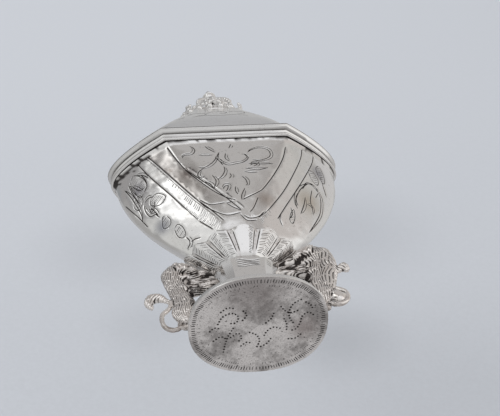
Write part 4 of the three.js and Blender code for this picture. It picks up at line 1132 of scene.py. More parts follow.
def loft(name, rings, closed=False, capped=False, dark=None):
    """Extrudes a circle ring by ring and lays each ring on its outline, in millimetres.

    dark says how dark each ring is painted, from 0 to 1."""
    deselect()
    count = len(rings[0])
    laid = list(rings) + ([rings[0]] if closed else [])
    bpy.ops.mesh.primitive_circle_add(vertices=count, radius=1)
    piece = bpy.context.object
    piece.name = name
    bpy.ops.object.mode_set(mode="EDIT")
    for _ in laid[1:]:
        bpy.ops.mesh.extrude_region_move(TRANSFORM_OT_translate={"value": (0, 0, 1)})
    bpy.ops.object.mode_set(mode="OBJECT")
    row_darkness = piece.data.attributes.new("cut", "FLOAT", "POINT")
    for vertex in piece.data.vertices:
        turn = math.atan2(vertex.co.y, vertex.co.x) / (2 * math.pi)
        row = round(vertex.co.z)
        row_darkness.data[vertex.index].value = dark[row % len(rings)] if dark else 0
        vertex.co = Vector(laid[row][round(turn * count) % count]) * MM
    clean_mesh(piece, LOFT_MERGE, LOFT_FLAT_ANGLE, (laid[0], laid[-1]) if capped else ())
    return piece


def arc(centre, radius, first, last, steps):
    """Points of a profile round a centre, between two angles in degrees."""
    angles = np.radians(np.linspace(first, last, steps))
    return [(centre[0] + radius * math.cos(a), centre[1] + radius * math.sin(a)) for a in angles]


RIM_POINTS = (18, 8, 18)
RIM_WIDTH, RIM_DEPTH, RIM_FRONT, FRONT_GROWTH = 21.9, 10.0, 11.9, 0.45


def rim_ring(offset, z):
    """The rim's outline at an offset, with a corner at each end of the straight front."""
    sizes = (RIM_WIDTH + offset, RIM_DEPTH + offset, RIM_FRONT + FRONT_GROWTH * offset, 0.0)
    wall = Wall(z, z + 1, lambda share: tuple(np.full_like(share, size) for size in sizes))
    corner = sizes[2] / float(wall.length(np.array([z]))[0])
    ends = (-1, -corner, corner, 1)
    u = np.concatenate([np.linspace(*part, endpoint=False) for part in zip(ends, ends[1:], RIM_POINTS)])
    return both_halves(wall.point(u, np.full(len(u), z)))


def moulding(name, profile, body, node):
    """A rim from rows of offset, level and painted darkness."""
    rings = [rim_ring(offset, z) for offset, z, _ in profile]
    piece = loft(name, rings, closed=True, dark=[darkness for _, _, darkness in profile])
    settle(piece, body, silver, "silver", node)


def darkened(points, dark):
    return [(offset, z, dark) for offset, z in points]


# The last number of each row darkens it. The 1.0 and the 0.45 to 0.5 rows paint shade on the flat undersides,
# on the faces at the seam and in the crease above the lower bead. The 0.8 in the lid's bead paints the seam's
# shadow as a dark line, and the smaller numbers paint the hollows a little darker.
body_profile = darkened([(-1.75, 45.6), (-0.5, 45.6), (-0.42, 45.86)], 1.0)
body_profile += darkened(arc((-0.1, 46.22), 0.34, -88, 50, 7), 0.0)
body_profile += darkened([(-0.22, 46.6)], 0.5) + darkened(arc((0.15, 47.15), 0.62, 212, 148, 6), 0.27)
body_profile += darkened(arc((-0.36, 47.88), 0.28, -50, 60, 6), 0.0)
body_profile += darkened([(-0.34, 48.24), (-0.6, 48.3), (-1.75, 48.3)], 0.45)
bead_darkness = [0.17, 0.17, 0.20, 0.80, 0, 0, 0, 0, 0]
bead_of_lid = [(*point, dark) for point, dark in zip(arc((0.30, 49.16), 0.30, -62, 118, 9), bead_darkness)]
lid_profile = darkened([(-1.5, 48.4), (-0.4, 48.4)], 0.5) + darkened([(0.0, 48.46)], 0.2)
lid_profile += darkened([(0.34, 48.78)], 0.04) + bead_of_lid
lid_profile += darkened(arc((0.45, 50.45), 1.15, 236, 192, 7), 0.22)
lid_profile += darkened(arc((-0.98, 50.38), 0.3, -10, 85, 6), 0.0) + darkened([(-1.5, 50.7)], 0.0)
moulding("moulded_body_rim", body_profile, "root", "body_rim")
moulding("moulded_lid_rim", lid_profile, "lid", "lid_rim")

# %% [markdown]
# ## The fluted cup
# Twelve petals stand round the bottom of the body. Each is a shallow flute with a rounded tip, parted
# from the next by a double groove, and hatched along its edges. The surface is a formula again, so the
# engraving works the same way as on the body.

# %% Cup
PETALS = 12
PETAL_SHARE = 48.0
PETAL_RISE = 6.5
CUP_GAP = 0.3
CUP_WALL = 0.62
PETAL_CROWN = 0.42
FRONT_SHARE = 0.22
LIP_START = 0.93
CUP_THIN_LIP = 0.6
CUP_LOW_CROWN = 0.5
TIP_RISE, END_DROP = 0.7, 1.2
SIDE_STEP = 0.012
CUP_STEP_UP, CUP_TOP = 4e-3, 0.9
CUP_HATCH_PITCH = 0.33
CUP_HATCH_SPREAD = (0.7, 1.1)
PARTING = 0.36
PARTING_LINE, SHOULDER_LINE = (0.20, 0.10), (0.24, 0.10)


def cup_surface(share, rise, offset, crown):
    """Points round the cup. share runs from -0.25 at the left end to 0.25 at the right end."""
    tip = np.cos(math.pi * PETALS * share) ** 2
    drop = np.sin(2 * math.pi * share) ** 2
    z = lerp(Z_BODY_BOTTOM, Z_CALYX_TOP + TIP_RISE * (tip - 1) - END_DROP * drop, rise)
    width, depth, front, bulge = body_sizes((z - Z_BODY_BOTTOM) / (Z_MOUTH - Z_BODY_BOTTOM))
    corner = depth - bulge
    first, deep_first, deep_last = END_HANDLES

    def plan(at):
        along = np.abs(at) * 4
        along = np.where(along > 1, 2 - along, along)
        a, b, c, d = bezier_weights(np.clip((along - FRONT_SHARE) / (1 - FRONT_SHARE), 0, 1))
        curve_x = a * front + b * (front + first * (width - front)) + (c + d) * width
        curve_y = (a + b * deep_first + c * deep_last) * corner
        ratio = np.minimum(along / FRONT_SHARE, 1)
        straight = along <= FRONT_SHARE
        x = np.where(straight, front * ratio, curve_x) * np.sign(at)
        y = np.where(straight, depth - bulge * ratio ** 2, curve_y)
        return x, np.where(np.abs(at) > 0.25, y, -y)

    x, y = plan(share)
    ahead, behind = plan(share + SIDE_STEP), plan(share - SIDE_STEP)
    out = np.stack([ahead[1] - behind[1], behind[0] - ahead[0]])
    out /= np.hypot(*out)
    petal = np.abs(np.cos(math.pi * PETALS * share)) ** 0.8
    distance = offset + crown * petal * rise
    return np.stack([x + out[0] * distance, y + out[1] * distance, z], 1)


def cup_outside(share, rise):
    """Its outer face, where the metal thins towards the rim."""
    lip = np.clip((rise - LIP_START) / (1 - LIP_START), 0, 1) ** 2
    wall = CUP_WALL * (1 - CUP_THIN_LIP * lip)
    return cup_surface(share, rise, CUP_GAP + wall, PETAL_CROWN * (1 - CUP_LOW_CROWN * lip))


def lay_cup(chart):
    share = chart[:, 0] / PETAL_SHARE
    rise = np.clip(chart[:, 1] / PETAL_RISE, 0, 1)
    return cup_outside(share, rise), way_out(cup_outside, share, rise, CUP_STEP_UP, CUP_TOP)


def draw_cup():
    quarter = PETAL_SHARE / 4
    levels = np.linspace(0, PETAL_RISE, 13)
    sheet = grid_sheet(lay_cup, np.linspace(-quarter, quarter, 97), levels)
    pitch = PETAL_SHARE / PETALS
    for edge in np.arange(-2.5, 3) * pitch:
        sheet.wire([(edge, z) for z in levels])
        for x in (edge - PARTING, edge + PARTING):
            sheet.groove([(x, 6.0), (x, 3.2), (x, 0.5)], *PARTING_LINE, spacing=0.8)
        sheet.groove([(edge - 0.8, 6.3), (edge, 6.22), (edge + 0.8, 6.3)], *SHOULDER_LINE)
    half = pitch / 2 - 0.55
    for petal in range(-3, 4):
        middle = petal * pitch
        for side in (-1, 1) if petal else (1,):
            if abs(middle + side * half) > quarter - 0.6:
                continue
            for level in np.arange(0.5, 6.1, CUP_HATCH_PITCH):
                reach = half - (1.6 if petal else 0.8) * hatch_chance.uniform(*CUP_HATCH_SPREAD)
                path = [(middle + side * half, level), (middle + side * reach, level + 0.14)]
                sheet.groove(path, *THIN_LINE)
    sheet.fill(sheet.grid)
    return sheet


cup_sheet = draw_cup()
cup_across = cup_sheet.across[:-1] / PETAL_SHARE


def cup_ring(rise, offset, crown=0, z=None):
    half = cup_surface(cup_across, np.full(len(cup_across), rise), offset, crown)
    if z is not None:
        half[:, 2] = z
    return both_halves(half)


cup_lip = cup_ring(1.0, CUP_GAP + CUP_WALL * (1 - CUP_THIN_LIP), PETAL_CROWN * (1 - CUP_LOW_CROWN))
cup_inside = [cup_ring(rise, CUP_GAP) for rise in (1, 0.8, 0.6, 0.4, 0.2, 0)]
cup_closed = close_with_wall(both_faces(cup_sheet), [cup_lip, *cup_inside])
cup_foot = [cup_ring(0, CUP_GAP + CUP_WALL), cup_ring(0, CUP_GAP + CUP_WALL, z=Z_STEM_TOP)]
cup_closed = close_with_wall(cup_closed, cup_foot)
cup_along = cup_sheet.chart[:, 0]
from_edge = np.abs((cup_along / PETAL_SHARE * PETALS) % 1 - 0.5) * PETAL_SHARE / PETALS
edge_tone = 0.6 * np.clip((0.4 - from_edge) / 0.1, 0, 1)
# right_tone paints the right side of the cup browner.
right_tone = 0.35 * np.clip((cup_along - 2.5) / 2, 0, 1)
cup = piece_from("fluted_cup", *cup_closed, tone=np.tile(np.maximum(edge_tone, right_tone), 2), flat_angle=32)
settle(cup, "root", silver, "silver", "calyx")

# %% [markdown]
# ## The stem
# An eight-sided trumpet of sheet carries the cup. Its corners are sharp folds, so they are kept as creases
# in the chart. A few wavy lines are engraved across its front under the cup.

# %% Stem
STEM_LOW, STEM_HIGH = 0.8, Z_STEM_TOP
NECK = 0.7
STEM_WIDE, STEM_DEEP = (6.8, 4.2, 4.7), (6.0, 3.1, 3.6)
CORNER_AT = 0.67
FRONT_HALF, CORNER, SIDE_HALF = 2.8, 1.72, 2.08
STEM_HALF_ROUND = FRONT_HALF + CORNER + SIDE_HALF
STEM_WALL = 0.7
STEM_STEP_UP = 0.01
WAVES, WAVE_LOW, WAVE_PITCH, WAVE_HEIGHT = 5, 13.3, 0.36, 0.16
WAVE_LINE, CORNER_LINE = (0.18, 0.07), (0.17, 0.05)


def stem_half(base, neck, top, share):
    """The stem's half width, which narrows from its base to the neck and widens again to the top."""
    low = neck + (base - neck) * np.clip(1 - share / NECK, 0, 1) ** 2.6
    high = neck + (top - neck) * np.clip((share - NECK) / (1 - NECK), 0, 1) ** 2
    return np.where(share < NECK, low, high)


def stem_point(u, z, inset=0.0):
    share = (z - STEM_LOW) / (STEM_HIGH - STEM_LOW)
    wide, deep = (stem_half(*sizes, share) - inset for sizes in (STEM_WIDE, STEM_DEEP))
    short_x, short_y = wide * CORNER_AT, deep * CORNER_AT
    way = np.abs(u)
    corner = np.clip((way - FRONT_HALF) / CORNER, 0, 1)
    side = np.clip((way - FRONT_HALF - CORNER) / SIDE_HALF, 0, 1)
    x = np.where(way < FRONT_HALF, way / FRONT_HALF * short_x, lerp(short_x, wide, corner))
    y = lerp(lerp(deep, short_y, corner), 0, side)
    return np.stack([x * np.sign(u), -y, z], 1)


def lay_stem(chart):
    u, z = chart.T
    return stem_point(u, z), way_out(stem_point, u, z, STEM_STEP_UP, STEM_HIGH - 0.1)


def draw_stem():
    levels = np.linspace(STEM_LOW, STEM_HIGH, 29)
    sheet = grid_sheet(lay_stem, np.linspace(-STEM_HALF_ROUND, STEM_HALF_ROUND, 23), levels)
    for fold in (FRONT_HALF, FRONT_HALF + CORNER):
        for side in (-1, 1):
            sheet.wire([(side * fold, z) for z in levels])
    for row in range(WAVES):
        z = WAVE_LOW + WAVE_PITCH * row
        wave = [(x, z + WAVE_HEIGHT * math.sin(1.5 * x + 0.9 * row)) for x in np.linspace(-2.3, 2.3, 9)]
        sheet.groove(wave, *WAVE_LINE)
    for row in range(3):
        z = 13.7 + 0.4 * row
        sheet.groove([(2.95, z), (3.7, z + 0.15), (4.4, z - 0.05)], *CORNER_LINE)
    sheet.fill(sheet.grid)
    return sheet


stem_sheet = draw_stem()


def stem_ring(z, inset=0):
    half = stem_point(stem_sheet.across[:-1], np.full(len(stem_sheet.across) - 1, z), inset)
    return both_halves(half)


under = [stem_ring(STEM_LOW)] + [stem_ring(z, STEM_WALL) for z in np.linspace(STEM_LOW, 14.5, 10)]
stem_closed = close_with_wall(close_with_wall(both_faces(stem_sheet), under), [stem_ring(STEM_HIGH)])
stem = piece_from("engraved_stem", *stem_closed)
settle(stem, "root", silver, "silver", "stem")

# %% [markdown]
# ## The foot
# The photograph looks straight at the underside of the foot, so it gets the most care. Two rows of short
# strokes make its border. Dotted sprigs fill the field: each dot is a small punched pit. The plate
# is darker and more clouded than the rest, because nobody polishes it.

# %% Foot
FOOT_WIDE, FOOT_DEEP, FOOT_SQUARENESS = 12.3, 10.4, 2.25
FOOT_TOP = 0.8
FOOT_RING = 120
BORDER_STROKES = 160
BORDER_ROWS = ((0.42, 1.45, 0.23, 0.12), (1.68, 2.12, 0.20, 0.10))
UNDER_EDGE = 0.15
SPRIGS = [
    [(-7.2, -0.6), (-6.4, -2.2), (-4.9, -2.9), (-3.7, -2.2), (-3.9, -0.9), (-5.0, -0.7)],
    [(-6.0, 5.6), (-5.7, 3.6), (-5.1, 1.7), (-4.2, -0.1)],
    [(-7.9, 3.0), (-6.6, 2.1), (-5.5, 2.7)],
    [(-4.9, 2.4), (-3.6, 1.5), (-2.9, 2.5), (-3.6, 3.5)],
    [(-1.6, 1.4), (-0.4, 2.0), (0.3, 3.3), (-0.2, 5.0)],
    [(3.9, 0.9), (2.6, 0.6), (1.5, 1.4), (0.9, 2.8)],
    [(2.3, 3.0), (1.6, 4.1), (0.4, 4.8)],
    [(7.3, -5.2), (6.0, -4.4), (5.3, -3.0), (5.4, -1.3), (6.2, 0.0)],
    [(3.7, -3.9), (4.5, -2.9), (5.6, -2.4), (6.9, -2.9)],
    [(9.6, -1.7), (8.6, -2.3), (7.6, -1.5), (7.3, -0.1), (6.6, 1.2), (5.4, 1.5)],
    [(4.4, -1.2), (4.9, -0.1), (5.0, 1.3)],
    [(-6.8, -3.2), (-5.6, -4.1), (-4.3, -3.9)],
    [(-2.9, -1.2), (-2.2, -2.4), (-2.9, -3.4)],
    [(-3.0, 4.4), (-2.0, 3.6), (-1.2, 3.8)],
    [(1.2, -0.4), (2.1, -1.3), (2.6, -2.6)],
    [(7.6, 2.4), (6.5, 3.3), (5.1, 3.3)],
    [(8.0, -4.6), (8.9, -4.0), (9.4, -3.0)],
    [(-8.6, 0.9), (-7.7, 0.1), (-6.6, 0.4)],
]
DOT_PITCH = 0.6
DOT_SIZES = (0.24, 0.31)
BORDER_SPREAD = 0.22
FIELD_WIDE, FIELD_DEEP = 11.9, 10.0
FIELD_GRID = 0.8


def foot_ring(inset, z, count=FOOT_RING):
    angles = 2 * math.pi * np.arange(count) / count
    power = 2 / FOOT_SQUARENESS
    x = np.sign(np.cos(angles)) * (FOOT_WIDE - inset) * np.abs(np.cos(angles)) ** power
    y = np.sign(np.sin(angles)) * (FOOT_DEEP - inset) * np.abs(np.sin(angles)) ** power
    return np.stack([x, y, np.full(count, float(z))], 1)


def lay_foot(chart):
    count = len(chart)
    return np.column_stack([chart, np.zeros(count)]), np.tile([0.0, 0.0, -1.0], (count, 1))


def draw_foot():
    sheet = Sheet(lay_foot)
    sheet.wire(foot_ring(UNDER_EDGE, 0)[:, :2], closed=True)
    for outer, inner, width, depth in BORDER_ROWS:
        starts, ends = (foot_ring(inset, 0, BORDER_STROKES)[:, :2] for inset in (outer, inner))
        for start, end in zip(starts, ends):
            sheet.groove([start, lerp(start, end, 1 - hatch_chance.uniform(0, BORDER_SPREAD))], width, depth)
    for path in SPRIGS:
        line = smoothed(path, 0.1)
        ways = ways_along(line)
        for way in np.arange(0.1, ways[-1], DOT_PITCH):
            sheet.dot(point_at(line, ways, way), hatch_chance.uniform(*DOT_SIZES))
    span = np.arange(-13, 13.1, FIELD_GRID)
    power = FOOT_SQUARENESS
    sheet.fill([(x, y) for x in span for y in span
                if (abs(x) / FIELD_WIDE) ** power + (abs(y) / FIELD_DEEP) ** power < 1])
    return sheet


foot_edge = [(UNDER_EDGE, 0), (0.04, 0.05), (0, 0.16), (0, 0.62), (0.05, 0.74), (0.16, FOOT_TOP),
             (4.5, FOOT_TOP)]
foot_outside = draw_foot().cut()
foot = piece_from("engraved_foot", *close_with_wall(foot_outside, [foot_ring(*row) for row in foot_edge]))
settle(foot, "root", foot_silver, "silver", "foot_plate")

wire_profile = [(1.05, FOOT_TOP), (0.15, FOOT_TOP)]
wire_profile += [(1.2 - inset, z) for inset, z in arc((0.6, 1.05), 0.45, 0, 180, 9)]
foot_wire = loft("foot_edge_wire", [foot_ring(*row) for row in wire_profile], closed=True)
settle(foot_wire, "root", silver, "silver", "foot_wire")

# %% [markdown]
# ## The crown
# The crown is built of small castings: a flared circlet with pearls and leaves, eight beaded arches that
# meet under a disc, and an orb. Beads and leaves are modelled once and copied. They run into the band
# a little, as solder would join them.

# %% Small parts of the crown
def join(name, parts):
    select_only(*parts)
    bpy.ops.object.join()
    whole = bpy.context.object
    whole.name = name
    return whole


def apply_modifier(piece, kind, **settings):
    bpy.ops.object.modifier_add(type=kind)
    modifier = piece.modifiers[0]
    for key, value in settings.items():
        setattr(modifier, key, value)
    bpy.ops.object.modifier_apply(modifier=modifier.name)


def bead(place, size, segments=12, rings=8, turn=0.0):
    """A ball, or an oval of three half widths, turned about the upright axis."""
    half = (size, size, size) if isinstance(size, float) else size
    deselect()
    bpy.ops.mesh.primitive_uv_sphere_add(segments=segments, ring_count=rings, radius=MM)
    ball = bpy.context.object
    ball.data.transform(Matrix.Diagonal((*half, 1)))
    ball.data.transform(Matrix.Rotation(turn, 4, "Z"))
    ball.data.transform(Matrix.Translation(Vector(place) * MM))
    return ball


def rod(path, radii, unit=MM, sides=4, spacing=0.25):
    """A round rod through points in millimetres, with a radius at each."""
    fine = smoothed(path, spacing)
    ways, fine_ways = (np.concatenate([[0], np.cumsum(np.linalg.norm(np.diff(line, axis=0), axis=1))])
                       for line in (np.array(path, float), fine))
    sizes = np.interp(fine_ways / fine_ways[-1], ways / ways[-1], radii)
    curve = bpy.data.curves.new("rod", "CURVE")
    curve.dimensions = "3D"
    curve.bevel_depth = unit
    curve.bevel_resolution = sides
    curve.use_fill_caps = True
    spline = curve.splines.new("POLY")
    spline.points.add(len(fine) - 1)
    for point, place, size in zip(spline.points, fine, sizes):
        point.co = (*(place * unit), 1)
        point.radius = size
    holder = bpy.data.objects.new("rod", curve)
    bpy.context.collection.objects.link(holder)
    select_only(holder)
    bpy.ops.object.convert(target="MESH")
    return bpy.context.object


def array_of(items, field, width=3, kind=float):
    values = np.empty(len(items) * width, kind)
    items.foreach_get(field, values)
    return values.reshape(-1, width)


def cavity_of(piece, rounds=14):
    """How far each point lies below a smoothed copy of the surface, in the piece's units."""
    mesh = piece.data
    count = len(mesh.vertices)
    places = array_of(mesh.vertices, "co")
    normals = array_of(mesh.vertex_normals, "vector")
    first, second = array_of(mesh.edges, "vertices", 2, int).T
    degree = np.bincount(first, minlength=count) + np.bincount(second, minlength=count)
    soft = places.copy()
    for _ in range(rounds):
        total = [np.bincount(first, column[second], count) + np.bincount(second, column[first], count)
                 for column in soft.T]
        soft = np.stack(total, 1) / np.maximum(degree, 1)[:, None]
    return ((soft - places) * normals).sum(1), places, normals


def cast_skin(piece, voxel, iterations):
    """Melts overlapping parts into one cast skin. voxel is in the piece's units."""
    select_only(piece)
    apply_modifier(piece, "REMESH", mode="VOXEL", voxel_size=voxel)
    apply_modifier(piece, "SMOOTH", factor=0.6, iterations=iterations)
    piece.data.shade_smooth()


def tarnished(piece):
    """A cast part of the crown, with tarnish in its hollows."""
    old = piece.data.attributes.get("cut")
    if old:
        piece.data.attributes.remove(old)
    cast_skin(piece, CROWN_VOXEL * MM, 2)
    write_attribute(piece, "cut", np.clip(cavity_of(piece)[0] / (CROWN_HOLLOW * MM), 0, 1))
    return piece


def turns(count, start=0):
    """Angles that divide a whole turn, from a share of a step onward."""
    return [2 * math.pi * (i + start) / count for i in range(count)]


CROWN_WIDE, CROWN_DEEP = 7.0, 4.3
CROWN_VOXEL = 0.11
CROWN_HOLLOW = 0.16


def circlet_reach(angle, inset):
    wide, deep = CROWN_WIDE - inset, CROWN_DEEP - inset
    return wide * deep / math.hypot(deep * math.cos(angle), wide * math.sin(angle))


def around(angle, reach, z):
    return (reach * math.cos(angle), reach * math.sin(angle), z)


def oval_ring(wide, deep, z, count=64):
    return [(wide * math.cos(a), deep * math.sin(a), z) for a in turns(count)]


print("crown helpers ready")

# %% Crown
ARCHES = 8
LEAVES = 8
PEARLS = 18
PLINTH_WIDE, PLINTH_DEEP = 6.95, 4.1
BAND_WIDE, BAND_DEEP = 6.5, 3.8
PEARL_RING = (6.45, 3.75, 68.2)
CIRCLET = [(-0.7, 67.1), (-0.25, 67.1), (-0.2, 67.5), (-0.1, 68.3), (-0.15, 68.6), (-0.55, 68.6),
           (-0.7, 68.0)]
PEARL, ARCH_RADIUS, ARCH_BEAD = 0.64, 0.34, 0.52
ARCH_LOW, ARCH_HIGH = 69.7, 75.8
DISC_RADIUS, DISC_THICK, DISC_EDGE = 1.3, 0.6, 0.14
ORB, ORB_RADIUS, ORB_BAND = 77.45, 1.28, 1.2
KNOB, KNOB_RADIUS = 79.15, 0.58


def circlet():
    parts = [loft("band", [oval_ring(BAND_WIDE + d, BAND_DEEP + d, z, 96) for d, z in CIRCLET], closed=True)]
    parts += [bead(place, PEARL, 12, 8) for place in oval_ring(*PEARL_RING, PEARLS)]
    for angle in turns(LEAVES, 0.5):
        reach = circlet_reach(angle, 0.45)
        parts.append(bead(around(angle, reach, 69.3), (0.45, 0.6, 0.8), turn=angle))
        parts.append(bead(around(angle, reach + 0.1, 70.1), (0.4, 0.5, 0.5), turn=angle))
        for side in (-0.85, 0.85):
            spot = Vector(around(angle, reach, 69.5)) + side * Vector((-math.sin(angle), math.cos(angle), 0))
            parts.append(bead(spot, (0.36, 0.46, 0.42), turn=angle))
    return tarnished(join("crown_band", parts))


def arches():
    rise = ARCH_HIGH - ARCH_LOW
    parts = []
    for angle in turns(ARCHES):
        reach = circlet_reach(angle, 0.4)
        side = [(reach, ARCH_LOW - 0.5), (0.86 * reach, ARCH_LOW + 0.27 * rise),
                (0.65 * reach, ARCH_LOW + 0.54 * rise), (0.38 * reach, ARCH_LOW + 0.8 * rise),
                (0.8, ARCH_LOW + 0.95 * rise)]
        path = [around(angle, out, z) for out, z in side]
        parts.append(rod(path, [ARCH_RADIUS] * len(path)))
        for place in smoothed(path, 1.05)[1:-1]:
            out = Vector((place[0], place[1], 0)).normalized() * 0.12
            parts.append(bead(Vector(place) + out, ARCH_BEAD, 10, 7))
    deselect()
    bpy.ops.mesh.primitive_cylinder_add(vertices=40, radius=DISC_RADIUS * MM, depth=DISC_THICK * MM,
                                        location=(0, 0, ARCH_HIGH * MM))
    disc = bpy.context.object
    bpy.ops.object.transform_apply(location=True)
    apply_modifier(disc, "BEVEL", width=DISC_EDGE * MM, segments=3)
    return tarnished(join("crown_beaded_arches", [*parts, disc]))


def orb():
    parts = [bead((0, 0, ORB), ORB_RADIUS, 28, 18), bead((0, 0, KNOB), KNOB_RADIUS, 16, 12)]
    rings = [oval_ring(ORB_BAND + d, ORB_BAND + d, ORB + z, 28)
             for d, z in arc((0.08, 0), 0.13, 0, 300, 6)]
    return join("crown_orb_cast", [*parts, loft("orb_band", rings, closed=True)])


plinth_profile = [(-0.3, 66.4), (0, 66.46), *arc((-0.22, 66.75), 0.24, -60, 60, 5), (-0.14, 67.02),
                  (-0.34, 67.1)]
plinth_rings = [oval_ring(PLINTH_WIDE + d, PLINTH_DEEP + d, z) for d, z in plinth_profile]
plinth = loft("crown_base", plinth_rings, capped=True)
crown_pieces = {"crown_plinth": plinth, "crown_circlet": circlet(), "crown_arches": arches(),
                "crown_orb": orb()}
for node, piece in crown_pieces.items():
    piece.data.transform(Matrix.Translation((LID_LEAN * MM, 0, 0)))
    settle(piece, "lid", crown_silver, "cast_silver", node)

# %% [markdown]
# ## The lions
# Two cast lions rear up on the foot and hold the cup. A casting is one skin over a lumpy form, so each
# lion starts as overlapping rods and balls, which a voxel remesh melts into one surface. The fur was
# chased into the casting with a punch: here wavy rows of short strokes are sunk into the skin, and the
# hollows keep their tarnish.

# %% Limbs of a lion
THICK = 0.66
VOXEL = 0.13
FUR_PITCH = 0.45
FUR_DEPTH = 0.21
FUR_STROKE, FUR_GAP = 2.3, 0.08
FUR_SHUFFLE = (12.9898, 43758.5453)
LUMP_DEPTH = 0.06
TAIL_RADIUS = 0.46

TRUNK = [((12.1, 6.4), 2.05), ((12.0, 8.8), 2.05), ((12.45, 11.0), 1.85), ((12.9, 13.2), 1.8),
         ((13.2, 15.2), 1.95), ((13.2, 16.8), 2.2)]
MANE = [((13.2, 15.6), 1.9), ((13.15, 17.2), 2.35), ((12.7, 18.3), 1.95)]
HEAD = [((12.2, 18.2), 1.85), ((11.5, 18.2), 1.55)]
MUZZLE = [((11.4, 18.0), 1.2), ((10.6, 17.9), 0.85), ((10.35, 17.8), 0.72)]
CHEEK = [((11.7, 18.2), 1.1), ((10.4, 17.5), 1.0), ((9.5, 16.6), 0.85)]
HAUNCH = [((12.5, 6.4), 2.1), ((12.3, 4.8), 1.75), ((12.1, 3.4), 1.1)]
HIND_FOOT = [((12.6, 2.35), 0.72), ((11.2, 2.3), 0.78)]
LOW_ARM = [((12.4, 12.9), 1.4), ((10.6, 12.3), 1.3), ((8.7, 12.6), 1.15), ((6.9, 13.6), 0.95),
           ((5.9, 14.0), 0.85)]
HIGH_ARM = [((12.4, 16.0), 1.4), ((10.4, 16.2), 1.3), ((8.6, 16.7), 1.15), ((7.0, 16.6), 0.9),
            ((6.3, 16.5), 0.8)]
EAR = [((12.5, 19.7), 0.5), ((12.2, 20.1), 0.34)]
EYE = [((11.3, 18.75), 0.32), ((11.1, 18.7), 0.26)]
LEFT_TAIL = [(13.4, 3.4), (13.6, 2.2), (14.6, 1.9), (15.6, 2.4), (16.25, 3.6), (16.4, 5.2), (16.1, 6.7),
             (15.3, 7.5), (14.5, 8.6), (14.5, 9.8), (15.3, 10.6)]
LEFT_TUFT = [((15.3, 10.6), 0.6), ((16.4, 11.5), 1.0), ((17.7, 11.4), 1.1), ((18.25, 10.1), 0.85),
             ((17.9, 8.9), 0.5)]
RIGHT_TAIL = [(13.2, 3.6), (14.0, 3.0), (15.2, 2.9), (16.2, 3.5), (16.7, 4.8), (16.4, 6.3), (15.4, 7.1),
              (14.4, 8.2), (14.2, 10.0), (14.7, 11.6), (15.8, 12.3)]
RIGHT_TUFT = [((15.8, 12.3), 0.5), ((16.8, 12.9), 0.8), ((17.5, 13.5), 0.95), ((17.8, 12.7), 0.75)]
COIL = [((14.4, 5.6), 1.3), ((15.2, 4.7), 1.35)]
BROAD_BACK = [((13.2, 8.2), 1.9), ((13.9, 10.6), 1.9), ((14.4, 13.0), 1.95), ((14.3, 15.6), 2.1),
              ((14.0, 17.6), 2.0)]
PAW_BLOCK = [((11.4, 14.5), 1.7), ((9.4, 14.5), 1.45), ((7.6, 15.0), 1.1), ((6.4, 15.3), 0.8)]


def lion_limb(points, y=0.0, flat=THICK):
    """A limb in a lion's own plane, in units of a millimetre: out from the box, sideways and up."""
    path = [(r, y, z) for (r, z), _ in points]
    radii = [size for _, size in points]
    limb = rod(path, radii, unit=1.0, sides=5, spacing=0.4)
    balls = []
    for place, size in ((path[0], radii[0]), (path[-1], radii[-1])):
        bpy.ops.mesh.primitive_uv_sphere_add(segments=20, ring_count=14, radius=size, location=place)
        bpy.ops.object.transform_apply(location=True)
        balls.append(bpy.context.object)
    squeeze = Matrix.Diagonal((1, flat, 1, 1))
    squeeze = Matrix.Translation((0, y, 0)) @ squeeze @ Matrix.Translation((0, -y, 0))
    whole = join("limb", [limb, *balls])
    whole.data.transform(squeeze)
    return whole


def lion_form(tail, tuft, extra):
    parts = [lion_limb(points) for points in (TRUNK, MANE, HEAD, MUZZLE, HAUNCH, *extra)]
    parts += [lion_limb(points, flat=0.9) for points in (HIND_FOOT, LOW_ARM, HIGH_ARM)]
    parts.append(lion_limb(PAW_BLOCK, flat=0.45))
    parts += [lion_limb([(point, TAIL_RADIUS) for point in tail], flat=1.0), lion_limb(tuft, flat=0.85)]
    for side in (-1, 1):
        for points, out in ((EAR, 0.85), (CHEEK, 1.15), (EYE, 0.75)):
            parts.append(lion_limb(points, y=side * out, flat=0.8))
    return parts


def fur(places):
    """How deep the chased strokes are at each point, from 0 to 1. The rows are shuffled, so that the
    strokes of two rows don't start side by side."""
    r, y, z = places.T
    axis = np.interp(z, [2, 6, 9, 12, 15, 18], [12.0, 12.3, 12.0, 12.6, 13.1, 12.9])
    turned = np.arctan2(y / THICK, r - axis) * 2.1
    on_arm = np.clip((10.9 - r) / 0.6, 0, 1) * (z < 17.0)
    on_tuft = (r > 15.4) * (z > 8.3)
    across = np.where(on_arm > 0.5, z * 0.9 + y * 0.8, np.where(on_tuft, r * 0.8 + z * 0.5, turned))
    along = np.where(on_arm > 0.5, r, z)
    drift = np.array([noise.noise(Vector((a * 0.55, b * 0.45, 3.7))) for a, b in zip(across, along)])
    wave = across + 0.11 * np.sin(1.5 * along + 1.9 * np.sin(1.1 * across)) + 0.4 * drift
    row = np.round(wave / FUR_PITCH)
    side = np.abs(wave / FUR_PITCH - row)
    offset = np.abs(np.sin(row * FUR_SHUFFLE[0]) * FUR_SHUFFLE[1]) % 1
    phase = (along / FUR_STROKE + offset) % 1
    stroke = np.clip(np.minimum(phase, 1 - phase) / FUR_GAP, 0, 1)
    smooth_part = 1 - 0.75 * (np.clip((11.4 - r) / 0.5, 0, 1) * (z > 17.0))
    ring = (r > 14.6) * (z < 8.3)
    return np.clip(1.05 - side / 0.32, 0, 1) * stroke * smooth_part * np.where(ring, 0.25, 1)


